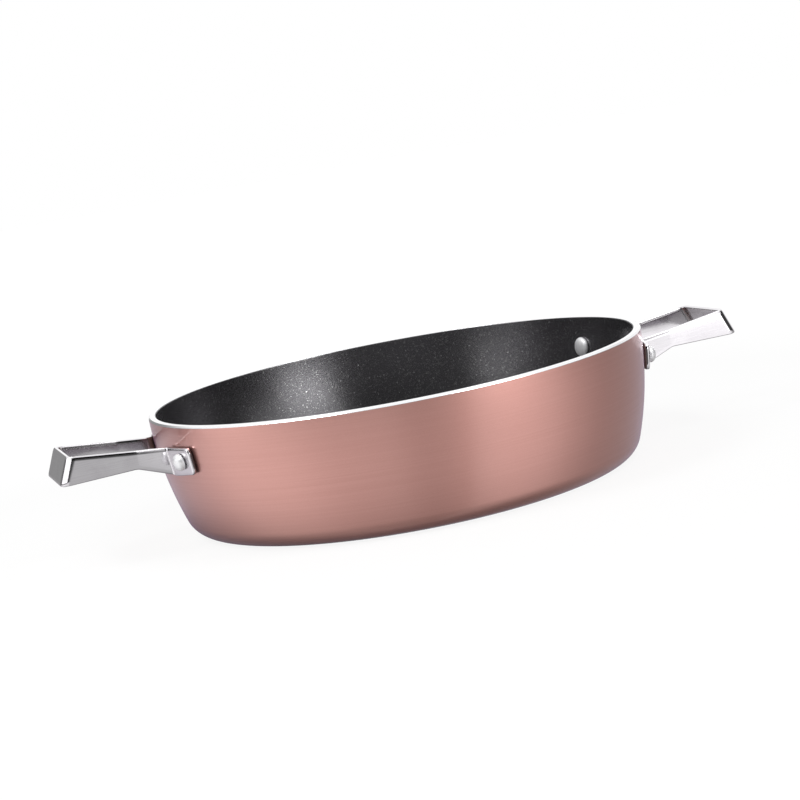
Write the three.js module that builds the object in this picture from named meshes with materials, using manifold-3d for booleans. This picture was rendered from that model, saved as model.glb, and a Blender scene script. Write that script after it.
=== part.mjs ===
// Shallow round pan with two loop handles.
// A pressed aluminium body carries a lacquer coat outside and a non-stick coat inside. The rim and the
// base are turned bare. Each handle is one steel strip bent into a loop, held by two rivets.
// Millimetres, +Z up. The origin is the centre of the base, on the plane that the pan stands on.
import * as THREE from 'three';
import { mergeVertices } from 'three/addons/utils/BufferGeometryUtils.js';
import Module from 'manifold-3d';

const degrees = THREE.MathUtils.degToRad;

// Pan body, measured over its coats
const RIM_DIAMETER = 280;
const PAN_HEIGHT = 70.5;
const WALL = 4.2;
const FLOOR = 4.4;
const RIM_LEAN = degrees(0.7);
const BARREL_RADIUS = 200;
const CORNER_RADIUS = 14.3;
const FLOOR_CORNER_RADIUS = 11;
const RIM_BEVEL_HEIGHT = 1.1;
const RIM_BEVEL_WIDTH = 0.8;
const RIM_INNER_BREAK = 0.4;

// Coats, drawn thicker than the sprayed film so that each is a solid
const LACQUER = 0.3;
const LINING = 0.3;
const COAT_GAP = 0.05;
const LACQUER_END_LEAN = degrees(66);

// Turned base: a flat standing ring round a shallow relief with concentric grooves
const STANDING_RING_WIDTH = 30;
const BASE_RELIEF = 0.6;
const GROOVE_COUNT = 5;
const GROOVE_WIDTH = 3;
const GROOVE_DEPTH = 0.7;

// Rivets
const RIVET_DROP = 18.3;
const RIVET_SPACING = 82.5;
const SHANK_DIAMETER = 5;
const OUTER_HEAD_DIAMETER = 9.3;
const OUTER_HEAD_HEIGHT = 3.8;
const INNER_HEAD_DIAMETER = 11.6;
const INNER_HEAD_HEIGHT = 2.9;
const HEAD_EDGE = 0.7;
const SEAT_GAP = 0.3;

// Handle strip
const STRIP = 3;
const STRIP_EDGE_RADIUS = 0.9;
const HEEL_BEND_RADIUS = 1;
const GRIP_BEND_RADIUS = 2.2;
const FOOT_HEIGHT = 14.5;
const HEEL_TOP_DROP = 0.55;
const HEEL_BOTTOM_DROP = 1.85;
const HEEL_LEAD = 0.5;
const FOOT_OVERHANG = 9.4;
const FOOT_CORNER_RADIUS = 2.6;
const ARM_SPREAD = 58.5;
const GRIP_WIDTH = 55;
const GRIP_REACH = 52.7;
const GRIP_HEIGHT = 16.4;
const GRIP_TILT = degrees(22.5);
const GRIP_RISE = 13;
const WAIST_REACH = 17;
const WAIST_HEIGHT = 10.1;

// Facets
const PAN_SEGMENTS = 64;
const BARREL_STEPS = 3;
const CORNER_STEPS = 4;
const RIVET_SEGMENTS = 16;
const DOME_STEPS = 4;
const BEND_STEPS = 4;
const FOOT_STEPS = 4;
const FOOT_END_STEPS = 3;
const EDGE_STEPS = 2;

const RIM_RADIUS = RIM_DIAMETER / 2;
const RIVET_HEIGHT = PAN_HEIGHT - RIVET_DROP;

const wasm = await Module();
wasm.setup();

// A closed geometry as a solid that can be cut.
function solidOf(geometry) {
  const bare = geometry.clone();
  bare.deleteAttribute('normal');
  bare.deleteAttribute('uv');
  const merged = mergeVertices(bare);
  const corners = merged.index.array;
  const kept = [];
  for (let i = 0; i < corners.length; i += 3) {
    const [a, b, c] = [corners[i], corners[i + 1], corners[i + 2]];
    if (a !== b && b !== c && c !== a) kept.push(a, b, c);
  }
  return new wasm.Manifold(new wasm.Mesh({
    numProp: 3,
    vertProperties: merged.attributes.position.array,
    triVerts: new Uint32Array(kept),
  }));
}

// A solid as a geometry for a mesh.
function geometryOf(solid) {
  const mesh = solid.getMesh();
  const geometry = new THREE.BufferGeometry();
  geometry.setAttribute('position', new THREE.BufferAttribute(mesh.vertProperties, 3));
  geometry.setIndex(new THREE.BufferAttribute(mesh.triVerts, 1));
  geometry.computeVertexNormals();
  return geometry;
}

// A closed half section turned about the Z axis.
function turned(profile, segments) {
  const points = profile.map(([radius, height]) => new THREE.Vector2(radius, height));
  return new THREE.LatheGeometry(points, segments).rotateX(Math.PI / 2);
}

// Half section of one skin of the pan: a large barrel arc down from the rim, then a corner arc into
// the flat base. Lean is the skin's angle from the vertical, and is a right angle at the base.
class Skin {
  constructor(rimRadius, baseHeight, barrelRadius, cornerRadius) {
    Object.assign(this, { rimRadius, baseHeight, barrelRadius, cornerRadius });
    const depth = PAN_HEIGHT - baseHeight;
    const cornerDistance = barrelRadius - cornerRadius;
    const cornerRise = depth - cornerRadius + barrelRadius * Math.sin(RIM_LEAN);
    this.cornerLean = Math.asin(cornerRise / cornerDistance);
    this.barrelCentre = new THREE.Vector2(
      rimRadius - barrelRadius * Math.cos(RIM_LEAN),
      PAN_HEIGHT + barrelRadius * Math.sin(RIM_LEAN),
    );
    this.cornerCentre = new THREE.Vector2(
      this.barrelCentre.x + cornerDistance * Math.cos(this.cornerLean),
      baseHeight + cornerRadius,
    );
  }

  // Radius of the flat base inside the corner arc.
  get flatRadius() {
    return this.cornerCentre.x;
  }

  at(lean) {
    const onBarrel = lean <= this.cornerLean;
    const centre = onBarrel ? this.barrelCentre : this.cornerCentre;
    const radius = onBarrel ? this.barrelRadius : this.cornerRadius;
    return [centre.x + radius * Math.cos(lean), centre.y - radius * Math.sin(lean)];
  }

  leanAt(height) {
    return Math.asin((this.barrelCentre.y - height) / this.barrelRadius);
  }

  // Points from a lean near the rim down to a lean near the base.
  down(fromLean, toLean) {
    const barrelEnd = Math.min(this.cornerLean, toLean);
    const leans = [];
    for (let i = 0; i < BARREL_STEPS; i++) {
      leans.push(THREE.MathUtils.lerp(fromLean, barrelEnd, i / BARREL_STEPS));
    }
    for (let i = 0; i <= CORNER_STEPS; i++) {
      leans.push(THREE.MathUtils.lerp(barrelEnd, toLean, i / CORNER_STEPS));
    }
    return leans.map((lean) => this.at(lean));
  }
}

// The outer skins are set in from the finished outside, and the inner ones out from the finished inside.
function outerSkin(inset) {
  return new Skin(RIM_RADIUS - inset, inset, BARREL_RADIUS - inset, CORNER_RADIUS - inset);
}

function innerSkin(outset) {
  return new Skin(
    RIM_RADIUS - WALL + outset,
    FLOOR - outset,
    BARREL_RADIUS - WALL + outset,
    FLOOR_CORNER_RADIUS + outset,
  );
}

const finishedOutside = outerSkin(0);
const finishedInside = innerSkin(0);
const bevelLean = finishedOutside.leanAt(PAN_HEIGHT - RIM_BEVEL_HEIGHT);
const rightAngle = Math.PI / 2;

// Frame on the finished outside at an angle round the pan and a height: the wall's own normal leans with it.
function wallFrame(angle, height) {
  const lean = finishedOutside.leanAt(height);
  const [radius] = finishedOutside.at(lean);
  const outwards = new THREE.Vector3(Math.cos(angle), Math.sin(angle), 0);
  return {
    point: outwards.clone().multiplyScalar(radius).setZ(height),
    normal: outwards.multiplyScalar(Math.cos(lean)).setZ(-Math.sin(lean)),
  };
}

const rivetRadius = finishedOutside.at(finishedOutside.leanAt(RIVET_HEIGHT))[0];
const rivetAngle = Math.asin(RIVET_SPACING / 2 / rivetRadius);
const handleTurns = { right: 0, left: Math.PI };
const rivetPlaces = [
  { name: 'rivet_right_front', angle: -rivetAngle },
  { name: 'rivet_right_back', angle: rivetAngle },
  { name: 'rivet_left_front', angle: Math.PI + rivetAngle },
  { name: 'rivet_left_back', angle: Math.PI - rivetAngle },
];

// Turns a geometry whose axis is +Z onto the wall's normal at a rivet, with its zero on the finished outside.
function seatedOnWall(geometry, angle) {
  const { point, normal } = wallFrame(angle, RIVET_HEIGHT);
  const turn = new THREE.Quaternion().setFromUnitVectors(new THREE.Vector3(0, 0, 1), normal);
  return geometry.applyQuaternion(turn).translate(point.x, point.y, point.z);
}

// Cuts the shank holes of the given rivets through a solid.
function withRivetHoles(solid, angles) {
  const holeRadius = SHANK_DIAMETER / 2 + SEAT_GAP;
  const holeLength = RIM_RADIUS / 2;
  return angles.reduce((cut, angle) => {
    const hole = new THREE.CylinderGeometry(holeRadius, holeRadius, holeLength, RIVET_SEGMENTS);
    return cut.subtract(solidOf(seatedOnWall(hole.rotateX(rightAngle), angle)));
  }, solid);
}

const allRivetAngles = rivetPlaces.map((place) => place.angle);

// Base profile from the axis out to the standing ring, with its concentric grooves.
function turnedBase() {
  const ringRadius = finishedOutside.flatRadius - STANDING_RING_WIDTH;
  const pitch = ringRadius / (GROOVE_COUNT + 1);
  const profile = [[0, BASE_RELIEF]];
  for (let i = 1; i <= GROOVE_COUNT; i++) {
    profile.push([i * pitch - GROOVE_WIDTH / 2, BASE_RELIEF]);
    profile.push([i * pitch, BASE_RELIEF + GROOVE_DEPTH]);
    profile.push([i * pitch + GROOVE_WIDTH / 2, BASE_RELIEF]);
  }
  profile.push([ringRadius - BASE_RELIEF, BASE_RELIEF]);
  profile.push([ringRadius, 0]);
  return profile;
}

// Aluminium body: bare at the rim and the base, and set in by a coat's thickness between them.
function panBody() {
  const outside = outerSkin(LACQUER + COAT_GAP);
  const inside = innerSkin(LINING + COAT_GAP);
  const profile = [
    ...turnedBase(),
    finishedOutside.at(rightAngle),
    finishedOutside.at((rightAngle + LACQUER_END_LEAN) / 2),
    finishedOutside.at(LACQUER_END_LEAN),
    ...outside.down(bevelLean, LACQUER_END_LEAN).reverse(),
    finishedOutside.at(bevelLean),
    [RIM_RADIUS - RIM_BEVEL_WIDTH, PAN_HEIGHT],
    [inside.rimRadius, PAN_HEIGHT],
    ...inside.down(inside.leanAt(PAN_HEIGHT - RIM_INNER_BREAK), rightAngle),
    [0, inside.baseHeight],
  ];
  return withRivetHoles(solidOf(turned(profile, PAN_SEGMENTS)), allRivetAngles);
}

// Lacquer coat on the outside wall, from the rim's bevel to the turned base.
function outerLacquer() {
  const back = outerSkin(LACQUER);
  const topLean = finishedOutside.leanAt(PAN_HEIGHT - RIM_BEVEL_HEIGHT - COAT_GAP);
  const endLean = LACQUER_END_LEAN - COAT_GAP / CORNER_RADIUS;
  const face = finishedOutside.down(topLean, endLean).reverse();
  const profile = [...face, ...back.down(topLean, endLean), face[0]];
  return withRivetHoles(solidOf(turned(profile, PAN_SEGMENTS)), allRivetAngles);
}

// Non-stick coat over the floor and the inside wall, up to the turned rim.
function nonstickLining() {
  const back = innerSkin(LINING);
  const topLean = finishedInside.leanAt(PAN_HEIGHT - RIM_INNER_BREAK - COAT_GAP);
  const profile = [
    [0, back.baseHeight],
    ...back.down(topLean, rightAngle).reverse(),
    ...finishedInside.down(topLean, rightAngle),
    [0, finishedInside.baseHeight],
  ];
  return withRivetHoles(solidOf(turned(profile, PAN_SEGMENTS)), allRivetAngles);
}

// Domed head profile from the rim of the head to its apex, standing away from a seat.
function headProfile(seat, direction, diameter, height) {
  const dome = height - HEAD_EDGE;
  const profile = [[diameter / 2, seat]];
  for (let i = 0; i <= DOME_STEPS; i++) {
    const sweep = (rightAngle * i) / DOME_STEPS;
    const rise = HEAD_EDGE + dome * Math.sin(sweep);
    profile.push([(diameter / 2) * Math.cos(sweep), seat + direction * rise]);
  }
  profile[profile.length - 1][0] = 0;
  return profile;
}

// Rivet along +Z, with its zero on the finished outside of the wall.
// Its inner head clears the hollow of the wall.
function rivet() {
  const hollow = (INNER_HEAD_DIAMETER / 2) ** 2 / (2 * (rivetRadius - WALL));
  const facetSag = rivetRadius * (1 - Math.cos(Math.PI / PAN_SEGMENTS));
  const innerSeat = -WALL - hollow - facetSag - SEAT_GAP;
  const outerSeat = SEAT_GAP + STRIP + SEAT_GAP;
  const profile = [
    ...headProfile(innerSeat, -1, INNER_HEAD_DIAMETER, INNER_HEAD_HEIGHT).reverse(),
    [SHANK_DIAMETER / 2, innerSeat],
    [SHANK_DIAMETER / 2, outerSeat],
    ...headProfile(outerSeat, 1, OUTER_HEAD_DIAMETER, OUTER_HEAD_HEIGHT),
  ];
  return turned(profile, RIVET_SEGMENTS);
}

// Where a line in plan crosses a circle about the axis, beyond its first point.
function lineMeetsCircle(start, end, radius) {
  const along = end.clone().sub(start);
  const a = along.lengthSq();
  const b = start.dot(along);
  const c = start.lengthSq() - radius * radius;
  return start.clone().addScaledVector(along, (-b + Math.sqrt(b * b - a * c)) / a);
}

// Rounds the corner of a path between two neighbours with an arc.
function cornerArc(before, corner, after, radius) {
  const arriving = corner.clone().sub(before).normalize();
  const leaving = after.clone().sub(corner).normalize();
  const turn = arriving.angleTo(leaving);
  const start = corner.clone().addScaledVector(arriving, -radius * Math.tan(turn / 2));
  const inwards = leaving.clone().addScaledVector(arriving, -arriving.dot(leaving)).normalize();
  const centre = start.clone().addScaledVector(inwards, radius);
  const points = [];
  for (let i = 0; i <= BEND_STEPS; i++) {
    const sweep = (turn * i) / BEND_STEPS;
    const point = centre.clone().addScaledVector(inwards, -radius * Math.cos(sweep));
    points.push(point.addScaledVector(arriving, radius * Math.sin(sweep)));
  }
  return points;
}

const footTop = RIVET_HEIGHT + FOOT_HEIGHT / 2;
const footBottom = RIVET_HEIGHT - FOOT_HEIGHT / 2;
const gripTop = RIVET_HEIGHT + GRIP_RISE;
const gripBottom = gripTop - GRIP_HEIGHT * Math.cos(GRIP_TILT);
const gripTopReach = RIM_RADIUS + GRIP_REACH - STRIP / 2;
const gripBottomReach = gripTopReach + GRIP_HEIGHT * Math.sin(GRIP_TILT);
const heelBend = HEEL_BEND_RADIUS + STRIP / 2;
const gripBend = GRIP_BEND_RADIUS + STRIP / 2;
const footEndAngle = rivetAngle + FOOT_OVERHANG / rivetRadius;

// Middle of the strip's thickness where its foot lies on the wall.
function footPoint(angle, height) {
  const { point, normal } = wallFrame(angle, height);
  return point.addScaledVector(normal, SEAT_GAP + STRIP / 2);
}

// Height lost at each edge of the foot by its rounded end corners.
function footEndLoss(angle) {
  const fromEnd = (footEndAngle - angle) * rivetRadius;
  const inside = Math.max(0, FOOT_CORNER_RADIUS - fromEnd);
  return FOOT_CORNER_RADIUS - Math.sqrt(FOOT_CORNER_RADIUS ** 2 - inside ** 2);
}

// One edge of the strip, from the end of one foot to the middle of the grip, in the middle of its thickness.
// The foot's edge runs from its height at the end to its height at the heel, where the strip leaves the wall.
function stripEdge(endHeight, heelHeight, reach, gripHeight, waistHeight, lossSign) {
  const armStart = new THREE.Vector2(RIM_RADIUS, (ARM_SPREAD - STRIP) / 2);
  const armEnd = new THREE.Vector2(reach, (GRIP_WIDTH - STRIP) / 2);
  const footRadius = footPoint(0, heelHeight).x;
  const root = lineMeetsCircle(new THREE.Vector2(0, armStart.y), armEnd, footRadius);
  const rootAngle = Math.atan2(root.y, root.x);
  const waist = armStart.clone().lerp(armEnd, WAIST_REACH / (reach - RIM_RADIUS));
  const heel = new THREE.Vector3(root.x, root.y, heelHeight);
  const waistPoint = new THREE.Vector3(waist.x, waist.y, waistHeight);
  const corner = new THREE.Vector3(armEnd.x, armEnd.y, gripHeight);
  const middle = new THREE.Vector3(reach, 0, gripHeight);

  const angles = [];
  const roundedTo = footEndAngle - FOOT_CORNER_RADIUS / rivetRadius;
  for (let i = 0; i < FOOT_END_STEPS; i++) {
    const share = 1 - Math.cos((rightAngle * i) / FOOT_END_STEPS);
    angles.push(THREE.MathUtils.lerp(footEndAngle, roundedTo, share));
  }
  const bendStart = rootAngle + (heelBend + HEEL_LEAD) / rivetRadius;
  for (let i = 0; i <= FOOT_STEPS; i++) {
    angles.push(THREE.MathUtils.lerp(roundedTo, bendStart, i / FOOT_STEPS));
  }
  const foot = angles.map((angle) => {
    const share = (footEndAngle - angle) / (footEndAngle - rootAngle);
    const height = THREE.MathUtils.lerp(endHeight, heelHeight, share);
    return footPoint(angle, height + lossSign * footEndLoss(angle));
  });
  return [
    ...foot,
    ...cornerArc(foot[foot.length - 1], heel, waistPoint, heelBend),
    waistPoint,
    ...cornerArc(waistPoint, corner, middle, gripBend),
    middle,
  ];
}

// Adds the mirrored half of a path that ends on the XZ plane.
function mirrored(half) {
  const other = half.slice(0, -1).map((point) => new THREE.Vector3(point.x, -point.y, point.z));
  return [...half, ...other.reverse()];
}

// Rounded section of the strip between its two edges: a ring of points about the path.
function stripSection(top, bottom, normal) {
  const upwards = top.clone().sub(bottom).normalize();
  const corners = [
    { edge: top, side: 1, up: 1 },
    { edge: top, side: -1, up: 1 },
    { edge: bottom, side: -1, up: -1 },
    { edge: bottom, side: 1, up: -1 },
  ];
  return corners.flatMap(({ edge, side, up }, index) => {
    const centre = edge.clone().addScaledVector(normal, side * (STRIP / 2 - STRIP_EDGE_RADIUS));
    centre.addScaledVector(upwards, -up * STRIP_EDGE_RADIUS);
    const ring = [];
    for (let i = 0; i <= EDGE_STEPS; i++) {
      const sweep = rightAngle * (index + i / EDGE_STEPS);
      const point = centre.clone().addScaledVector(normal, STRIP_EDGE_RADIUS * Math.cos(sweep));
      ring.push(point.addScaledVector(upwards, STRIP_EDGE_RADIUS * Math.sin(sweep)));
    }
    return ring;
  });
}

// Joins rings of equal length into one closed skin, with a flat fan at each end.
function lofted(rings) {
  const size = rings[0].length;
  const index = [];
  for (let r = 0; r + 1 < rings.length; r++) {
    for (let i = 0; i < size; i++) {
      const [a, b] = [r * size + i, r * size + ((i + 1) % size)];
      const [c, d] = [a + size, b + size];
      index.push(a, b, d, a, d, c);
    }
  }
  const last = (rings.length - 1) * size;
  for (let i = 1; i + 1 < size; i++) {
    index.push(0, i + 1, i);
    index.push(last, last + i, last + i + 1);
  }
  return new THREE.BufferGeometry().setFromPoints(rings.flat()).setIndex(index);
}

// Handle on the +X side: one strip from foot to foot, wide at the grip and narrow at the waist.
function handle() {
  const waistShare = WAIST_REACH / GRIP_REACH;
  const heelTop = footTop - HEEL_TOP_DROP;
  const heelBottom = footBottom - HEEL_BOTTOM_DROP;
  const waistTop = THREE.MathUtils.lerp(heelTop, gripTop, waistShare);
  const waistBottom = waistTop - WAIST_HEIGHT;
  const top = mirrored(stripEdge(footTop, heelTop, gripTopReach, gripTop, waistTop, -1));
  const bottom = mirrored(stripEdge(footBottom, heelBottom, gripBottomReach, gripBottom, waistBottom, 1));
  const middle = top.map((point, i) => point.clone().add(bottom[i]).divideScalar(2));
  const rings = top.map((point, i) => {
    const ahead = middle[Math.min(i + 1, middle.length - 1)];
    const behind = middle[Math.max(i - 1, 0)];
    const normal = new THREE.Vector3().crossVectors(
      point.clone().sub(bottom[i]),
      ahead.clone().sub(behind),
    );
    return stripSection(point, bottom[i], normal.normalize());
  });
  return withRivetHoles(solidOf(lofted(rings)), [rivetAngle, -rivetAngle]);
}

const bareAluminium = new THREE.MeshStandardMaterial({ color: 0xd9d9dc, roughness: 0.28, metalness: 1 });
const roseLacquer = new THREE.MeshStandardMaterial({ color: 0xb98478, roughness: 0.4, metalness: 0.6 });
const blackNonstick = new THREE.MeshStandardMaterial({ color: 0x2b2a2c, roughness: 0.45, metalness: 0 });
const polishedSteel = new THREE.MeshStandardMaterial({ color: 0xc9c8cb, roughness: 0.16, metalness: 1 });
const rivetAluminium = new THREE.MeshStandardMaterial({ color: 0xd2d2d5, roughness: 0.34, metalness: 1 });

function named(name, geometry, material) {
  const mesh = new THREE.Mesh(geometry, material);
  mesh.name = name;
  return mesh;
}

const pan = new THREE.Group();
pan.add(named('pan_body', geometryOf(panBody()), bareAluminium));
pan.add(named('outer_lacquer', geometryOf(outerLacquer()), roseLacquer));
pan.add(named('nonstick_lining', geometryOf(nonstickLining()), blackNonstick));

for (const [side, turn] of Object.entries(handleTurns)) {
  const mount = new THREE.Group();
  mount.rotation.z = turn;
  mount.add(named(`handle_${side}`, geometryOf(handle()), polishedSteel));
  pan.add(mount);
}

for (const { name, angle } of rivetPlaces) {
  pan.add(named(name, geometryOf(solidOf(seatedOnWall(rivet(), angle))), rivetAluminium));
}

export default pan;
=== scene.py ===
"""Looks of a shallow two-handled pan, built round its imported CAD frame.

Every piece is in metres, in the frame of the CAD part: +Z up, the centre of the base at the origin and the
right-hand handle along +X. Each CAD node is replaced by a finer piece of the same form and size.
"""

from __future__ import annotations

import logging
import math
from collections.abc import Mapping, Sequence
from dataclasses import dataclass
from enum import Enum

import bmesh
import bpy
from mathutils import Matrix, Vector

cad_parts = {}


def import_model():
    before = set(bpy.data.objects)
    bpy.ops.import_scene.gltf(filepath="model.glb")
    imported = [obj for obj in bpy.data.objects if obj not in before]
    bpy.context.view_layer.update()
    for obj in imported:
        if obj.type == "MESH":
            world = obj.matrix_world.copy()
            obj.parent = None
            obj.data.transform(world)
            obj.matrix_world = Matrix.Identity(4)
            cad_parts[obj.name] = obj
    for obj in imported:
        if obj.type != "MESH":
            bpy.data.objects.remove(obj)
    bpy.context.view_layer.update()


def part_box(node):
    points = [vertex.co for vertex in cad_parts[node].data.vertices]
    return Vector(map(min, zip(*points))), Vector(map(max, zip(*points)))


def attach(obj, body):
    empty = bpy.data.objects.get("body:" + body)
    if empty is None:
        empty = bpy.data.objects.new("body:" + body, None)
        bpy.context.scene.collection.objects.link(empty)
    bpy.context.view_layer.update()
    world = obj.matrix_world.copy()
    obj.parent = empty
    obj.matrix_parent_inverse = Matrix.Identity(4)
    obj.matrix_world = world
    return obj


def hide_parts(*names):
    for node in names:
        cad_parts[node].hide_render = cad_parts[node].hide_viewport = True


LOG = logging.getLogger("pan")

MM = 0.001
RIGHT_ANGLE = math.pi / 2
FULL_TURN = 360.0
MERGE_DISTANCE = 0.0001 * MM
CORNER_STEPS = 6
CORNER_HOLD = 0.5
BODY = "root"
PHOTO_PIXELS = 800
# Point mark for the rough places of the handles that are also painted near black as shade.
DULL_PAINTED_SHADE = "sheared"
# Point mark for the painted shade on the upper part of the handles' inside faces.
PAINTED_INNER_SHADE = "unbuffed"

FLOAT = "NodeSocketFloat"
INTEGER = "NodeSocketInt"
VECTOR = "NodeSocketVector"
GEOMETRY = "NodeSocketGeometry"
MATERIAL = "NodeSocketMaterial"
TURNED_INPUTS = {"Section": GEOMETRY, "Segments": INTEGER, "Merge Distance": FLOAT, "Finish": MATERIAL}

Socket = bpy.types.NodeSocket
Tree = bpy.types.NodeTree
Profile = list[tuple[float, float]]
Station = tuple[Vector, Vector]
Colour = tuple[float, float, float]
Span = tuple[float, float]
Stops = tuple[tuple[float, float], ...]

WHITE: Colour = (1.0, 1.0, 1.0)


class Side(Enum):
    """The two handles, with the turn about +Z that takes the +X side to each."""

    RIGHT = 0.0
    LEFT = math.pi

    @property
    def word(self) -> str:
        """Name of the side as the CAD nodes spell it."""
        return self.name.lower()


@dataclass(frozen=True)
class Remap:
    """A span of values and the span that it is mapped to."""

    span: Span
    to: Span = (0.0, 1.0)


@dataclass(frozen=True)
class Relief:
    """Fine unevenness of a surface: the share of its effect and its real height."""

    share: float
    height: float


# Node graphs


class Graph:
    """Short way to fill a node tree: nodes come with their settings, and inputs take values or sockets."""

    def __init__(self, tree: Tree) -> None:
        """Keeps the tree that the nodes go into."""
        self.tree = tree

    def node(self, kind: str, inputs: Mapping | None = None, **settings: object) -> bpy.types.Node:
        """Adds one node.

        Args:
            kind: Blender's name of the node type.
            inputs: Values or output sockets, by input name or number.
            **settings: Properties of the node itself.

        Returns:
            The new node.
        """
        node = self.tree.nodes.new(kind)
        for name, value in settings.items():
            setattr(node, name, value)
        for key, value in (inputs or {}).items():
            self.feed(node.inputs[key], value)
        return node

    def feed(self, socket: Socket, value: object) -> None:
        """Links a socket to an input, or sets the input's own value.

        Args:
            socket: The input.
            value: An output socket, a number, or a tuple of numbers, of which a colour has three.
        """
        if isinstance(value, Socket):
            self.tree.links.new(value, socket)
        elif socket.type == "RGBA":
            socket.default_value = (*value, 1.0)
        else:
            socket.default_value = value

    def math(self, operation: str, a: object, b: object = 0.0) -> Socket:
        """Returns the result of a Math node on two values."""
        return self.node("ShaderNodeMath", {0: a, 1: b}, operation=operation).outputs[0]

    def mean(self, a: object, b: object) -> Socket:
        """Returns the mean of two values."""
        return self.math("MULTIPLY", self.math("ADD", a, b), 0.5)

    def vector(self, operation: str, a: object, b: object) -> Socket:
        """Returns the vector result of a Vector Math node on two vectors."""
        return self.node("ShaderNodeVectorMath", {0: a, 1: b}, operation=operation).outputs[0]

    def scaled(self, vector: object, factor: object) -> Socket:
        """Returns a vector times a number."""
        return self.node("ShaderNodeVectorMath", {0: vector, "Scale": factor}, operation="SCALE").outputs[0]

    def length(self, vector: object) -> Socket:
        """Returns the length of a vector."""
        return self.node("ShaderNodeVectorMath", {0: vector}, operation="LENGTH").outputs["Value"]

    def parts(self, vector: object) -> bpy.types.bpy_prop_collection:
        """Returns the sockets of a vector's parts, by the names X, Y and Z."""
        return self.node("ShaderNodeSeparateXYZ", {"Vector": vector}).outputs

    def combined(self, **parts: object) -> Socket:
        """Returns a vector of the given parts X, Y and Z, with 0 for those left out."""
        return self.node("ShaderNodeCombineXYZ", parts).outputs["Vector"]

    def ranged(self, value: object, remap: Remap) -> Socket:
        """Returns a value mapped from one span to another and held at its ends."""
        ends = zip(("From Min", "From Max", "To Min", "To Max"), (*remap.span, *remap.to))
        return self.node("ShaderNodeMapRange", {"Value": value, **dict(ends)}).outputs["Result"]

    def noise(self, vector: object, scale: object, **character: float) -> Socket:
        """Returns a soft random pattern of that many changes per unit, from 0 to 1."""
        return self.node("ShaderNodeTexNoise", {"Vector": vector, "Scale": scale, **character}).outputs["Fac"]

    def mixed(self, factor: object, first: object, second: object) -> Socket:
        """Returns one colour mixed into another."""
        inputs = {"Factor": factor, 6: first, 7: second}
        return self.node("ShaderNodeMix", inputs, data_type="RGBA").outputs[2]

    def blended(self, factor: object, first: object, second: object) -> Socket:
        """Returns one number blended into another."""
        inputs = {"Factor": factor, 2: first, 3: second}
        return self.node("ShaderNodeMix", inputs, data_type="FLOAT").outputs[0]


class Group(Graph):
    """Graph of a node group, with named inputs and one output."""

    def __init__(self, name: str, kind: str, inputs: Mapping[str, str], output: tuple[str, str]) -> None:
        """Starts a group.

        Args:
            name: Name of the group.
            kind: Blender's name of the tree type.
            inputs: Socket types of the inputs, by name.
            output: Name and socket type of the output.
        """
        super().__init__(bpy.data.node_groups.new(name, kind))
        for label, socket in inputs.items():
            self.tree.interface.new_socket(name=label, in_out="INPUT", socket_type=socket)
        self.output, socket = output
        self.tree.interface.new_socket(name=self.output, in_out="OUTPUT", socket_type=socket)
        self.given = self.node("NodeGroupInput").outputs

    def put_out(self, result: Socket) -> Tree:
        """Links the result to the group's output and returns the group's tree."""
        self.node("NodeGroupOutput", {self.output: result})
        return self.tree

    def put_out_piece(self, geometry: Socket) -> Tree:
        """Makes the geometry real, dresses it with the input Finish and puts it out.

        Args:
            geometry: The geometry, which may hold instances.

        Returns:
            The group's tree.
        """
        whole = self.node("GeometryNodeRealizeInstances", {"Geometry": geometry}).outputs["Geometry"]
        dressed = self.node("GeometryNodeSetMaterial", {"Geometry": whole, "Material": self.given["Finish"]})
        return self.put_out(dressed.outputs["Geometry"])


# Meshes


def linked_object(name: str, data: bpy.types.ID) -> bpy.types.Object:
    """Puts new object data into the scene, at the origin.

    Args:
        name: Name of the object.
        data: Its mesh, light or camera.

    Returns:
        The new object.
    """
    obj = bpy.data.objects.new(name, data)
    bpy.context.scene.collection.objects.link(obj)
    return obj


def section_object(name: str, profile: Profile) -> bpy.types.Object:
    """Makes an object that holds a half section as a line of points in the XZ plane.

    Args:
        name: Name of the object.
        profile: Radius and height of each point.

    Returns:
        The new object.
    """
    mesh = bpy.data.meshes.new(name)
    points = [(radius, 0.0, height) for radius, height in profile]
    mesh.from_pydata(points, [(i, i + 1) for i in range(len(points) - 1)], [])
    return linked_object(name, mesh)


def plain_mesh(obj: bpy.types.Object, tree: Tree, values: Mapping[str, object]) -> None:
    """Runs a Geometry Nodes tree on an object and keeps the result as the object's own mesh.

    Args:
        obj: The object whose mesh goes into the tree.
        tree: The tree.
        values: Values of the tree's named inputs.
    """
    modifier = obj.modifiers.new("shape", "NODES")
    modifier.node_group = tree
    for item in tree.interface.items_tree:
        if item.in_out == "INPUT" and item.name in values:
            modifier[item.identifier] = values[item.name]
    depsgraph = bpy.context.evaluated_depsgraph_get()
    mesh = bpy.data.meshes.new_from_object(obj.evaluated_get(depsgraph))
    obj.modifiers.remove(modifier)
    obj.data = mesh
    mesh.name = obj.name


def mark_points(mesh: bpy.types.Mesh, name: str, values: Sequence[float]) -> None:
    """Keeps one number for each point of a mesh, for a finish to read."""
    mesh.attributes.new(name, "FLOAT", "POINT").data.foreach_set("value", values)


def face_outwards(mesh: bpy.types.Mesh, sharp_angle: float) -> None:
    """Turns a closed mesh's faces outwards and shades it smooth up to an angle.

    Args:
        mesh: The closed mesh.
        sharp_angle: Edges that turn by more than this stay sharp.
    """
    work = bmesh.new()
    work.from_mesh(mesh)
    bmesh.ops.recalc_face_normals(work, faces=work.faces)
    if work.calc_volume(signed=True) < 0:
        bmesh.ops.reverse_faces(work, faces=work.faces)
    work.to_mesh(mesh)
    work.free()
    mesh.shade_smooth()
    mesh.set_sharp_from_angle(angle=sharp_angle)


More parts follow.
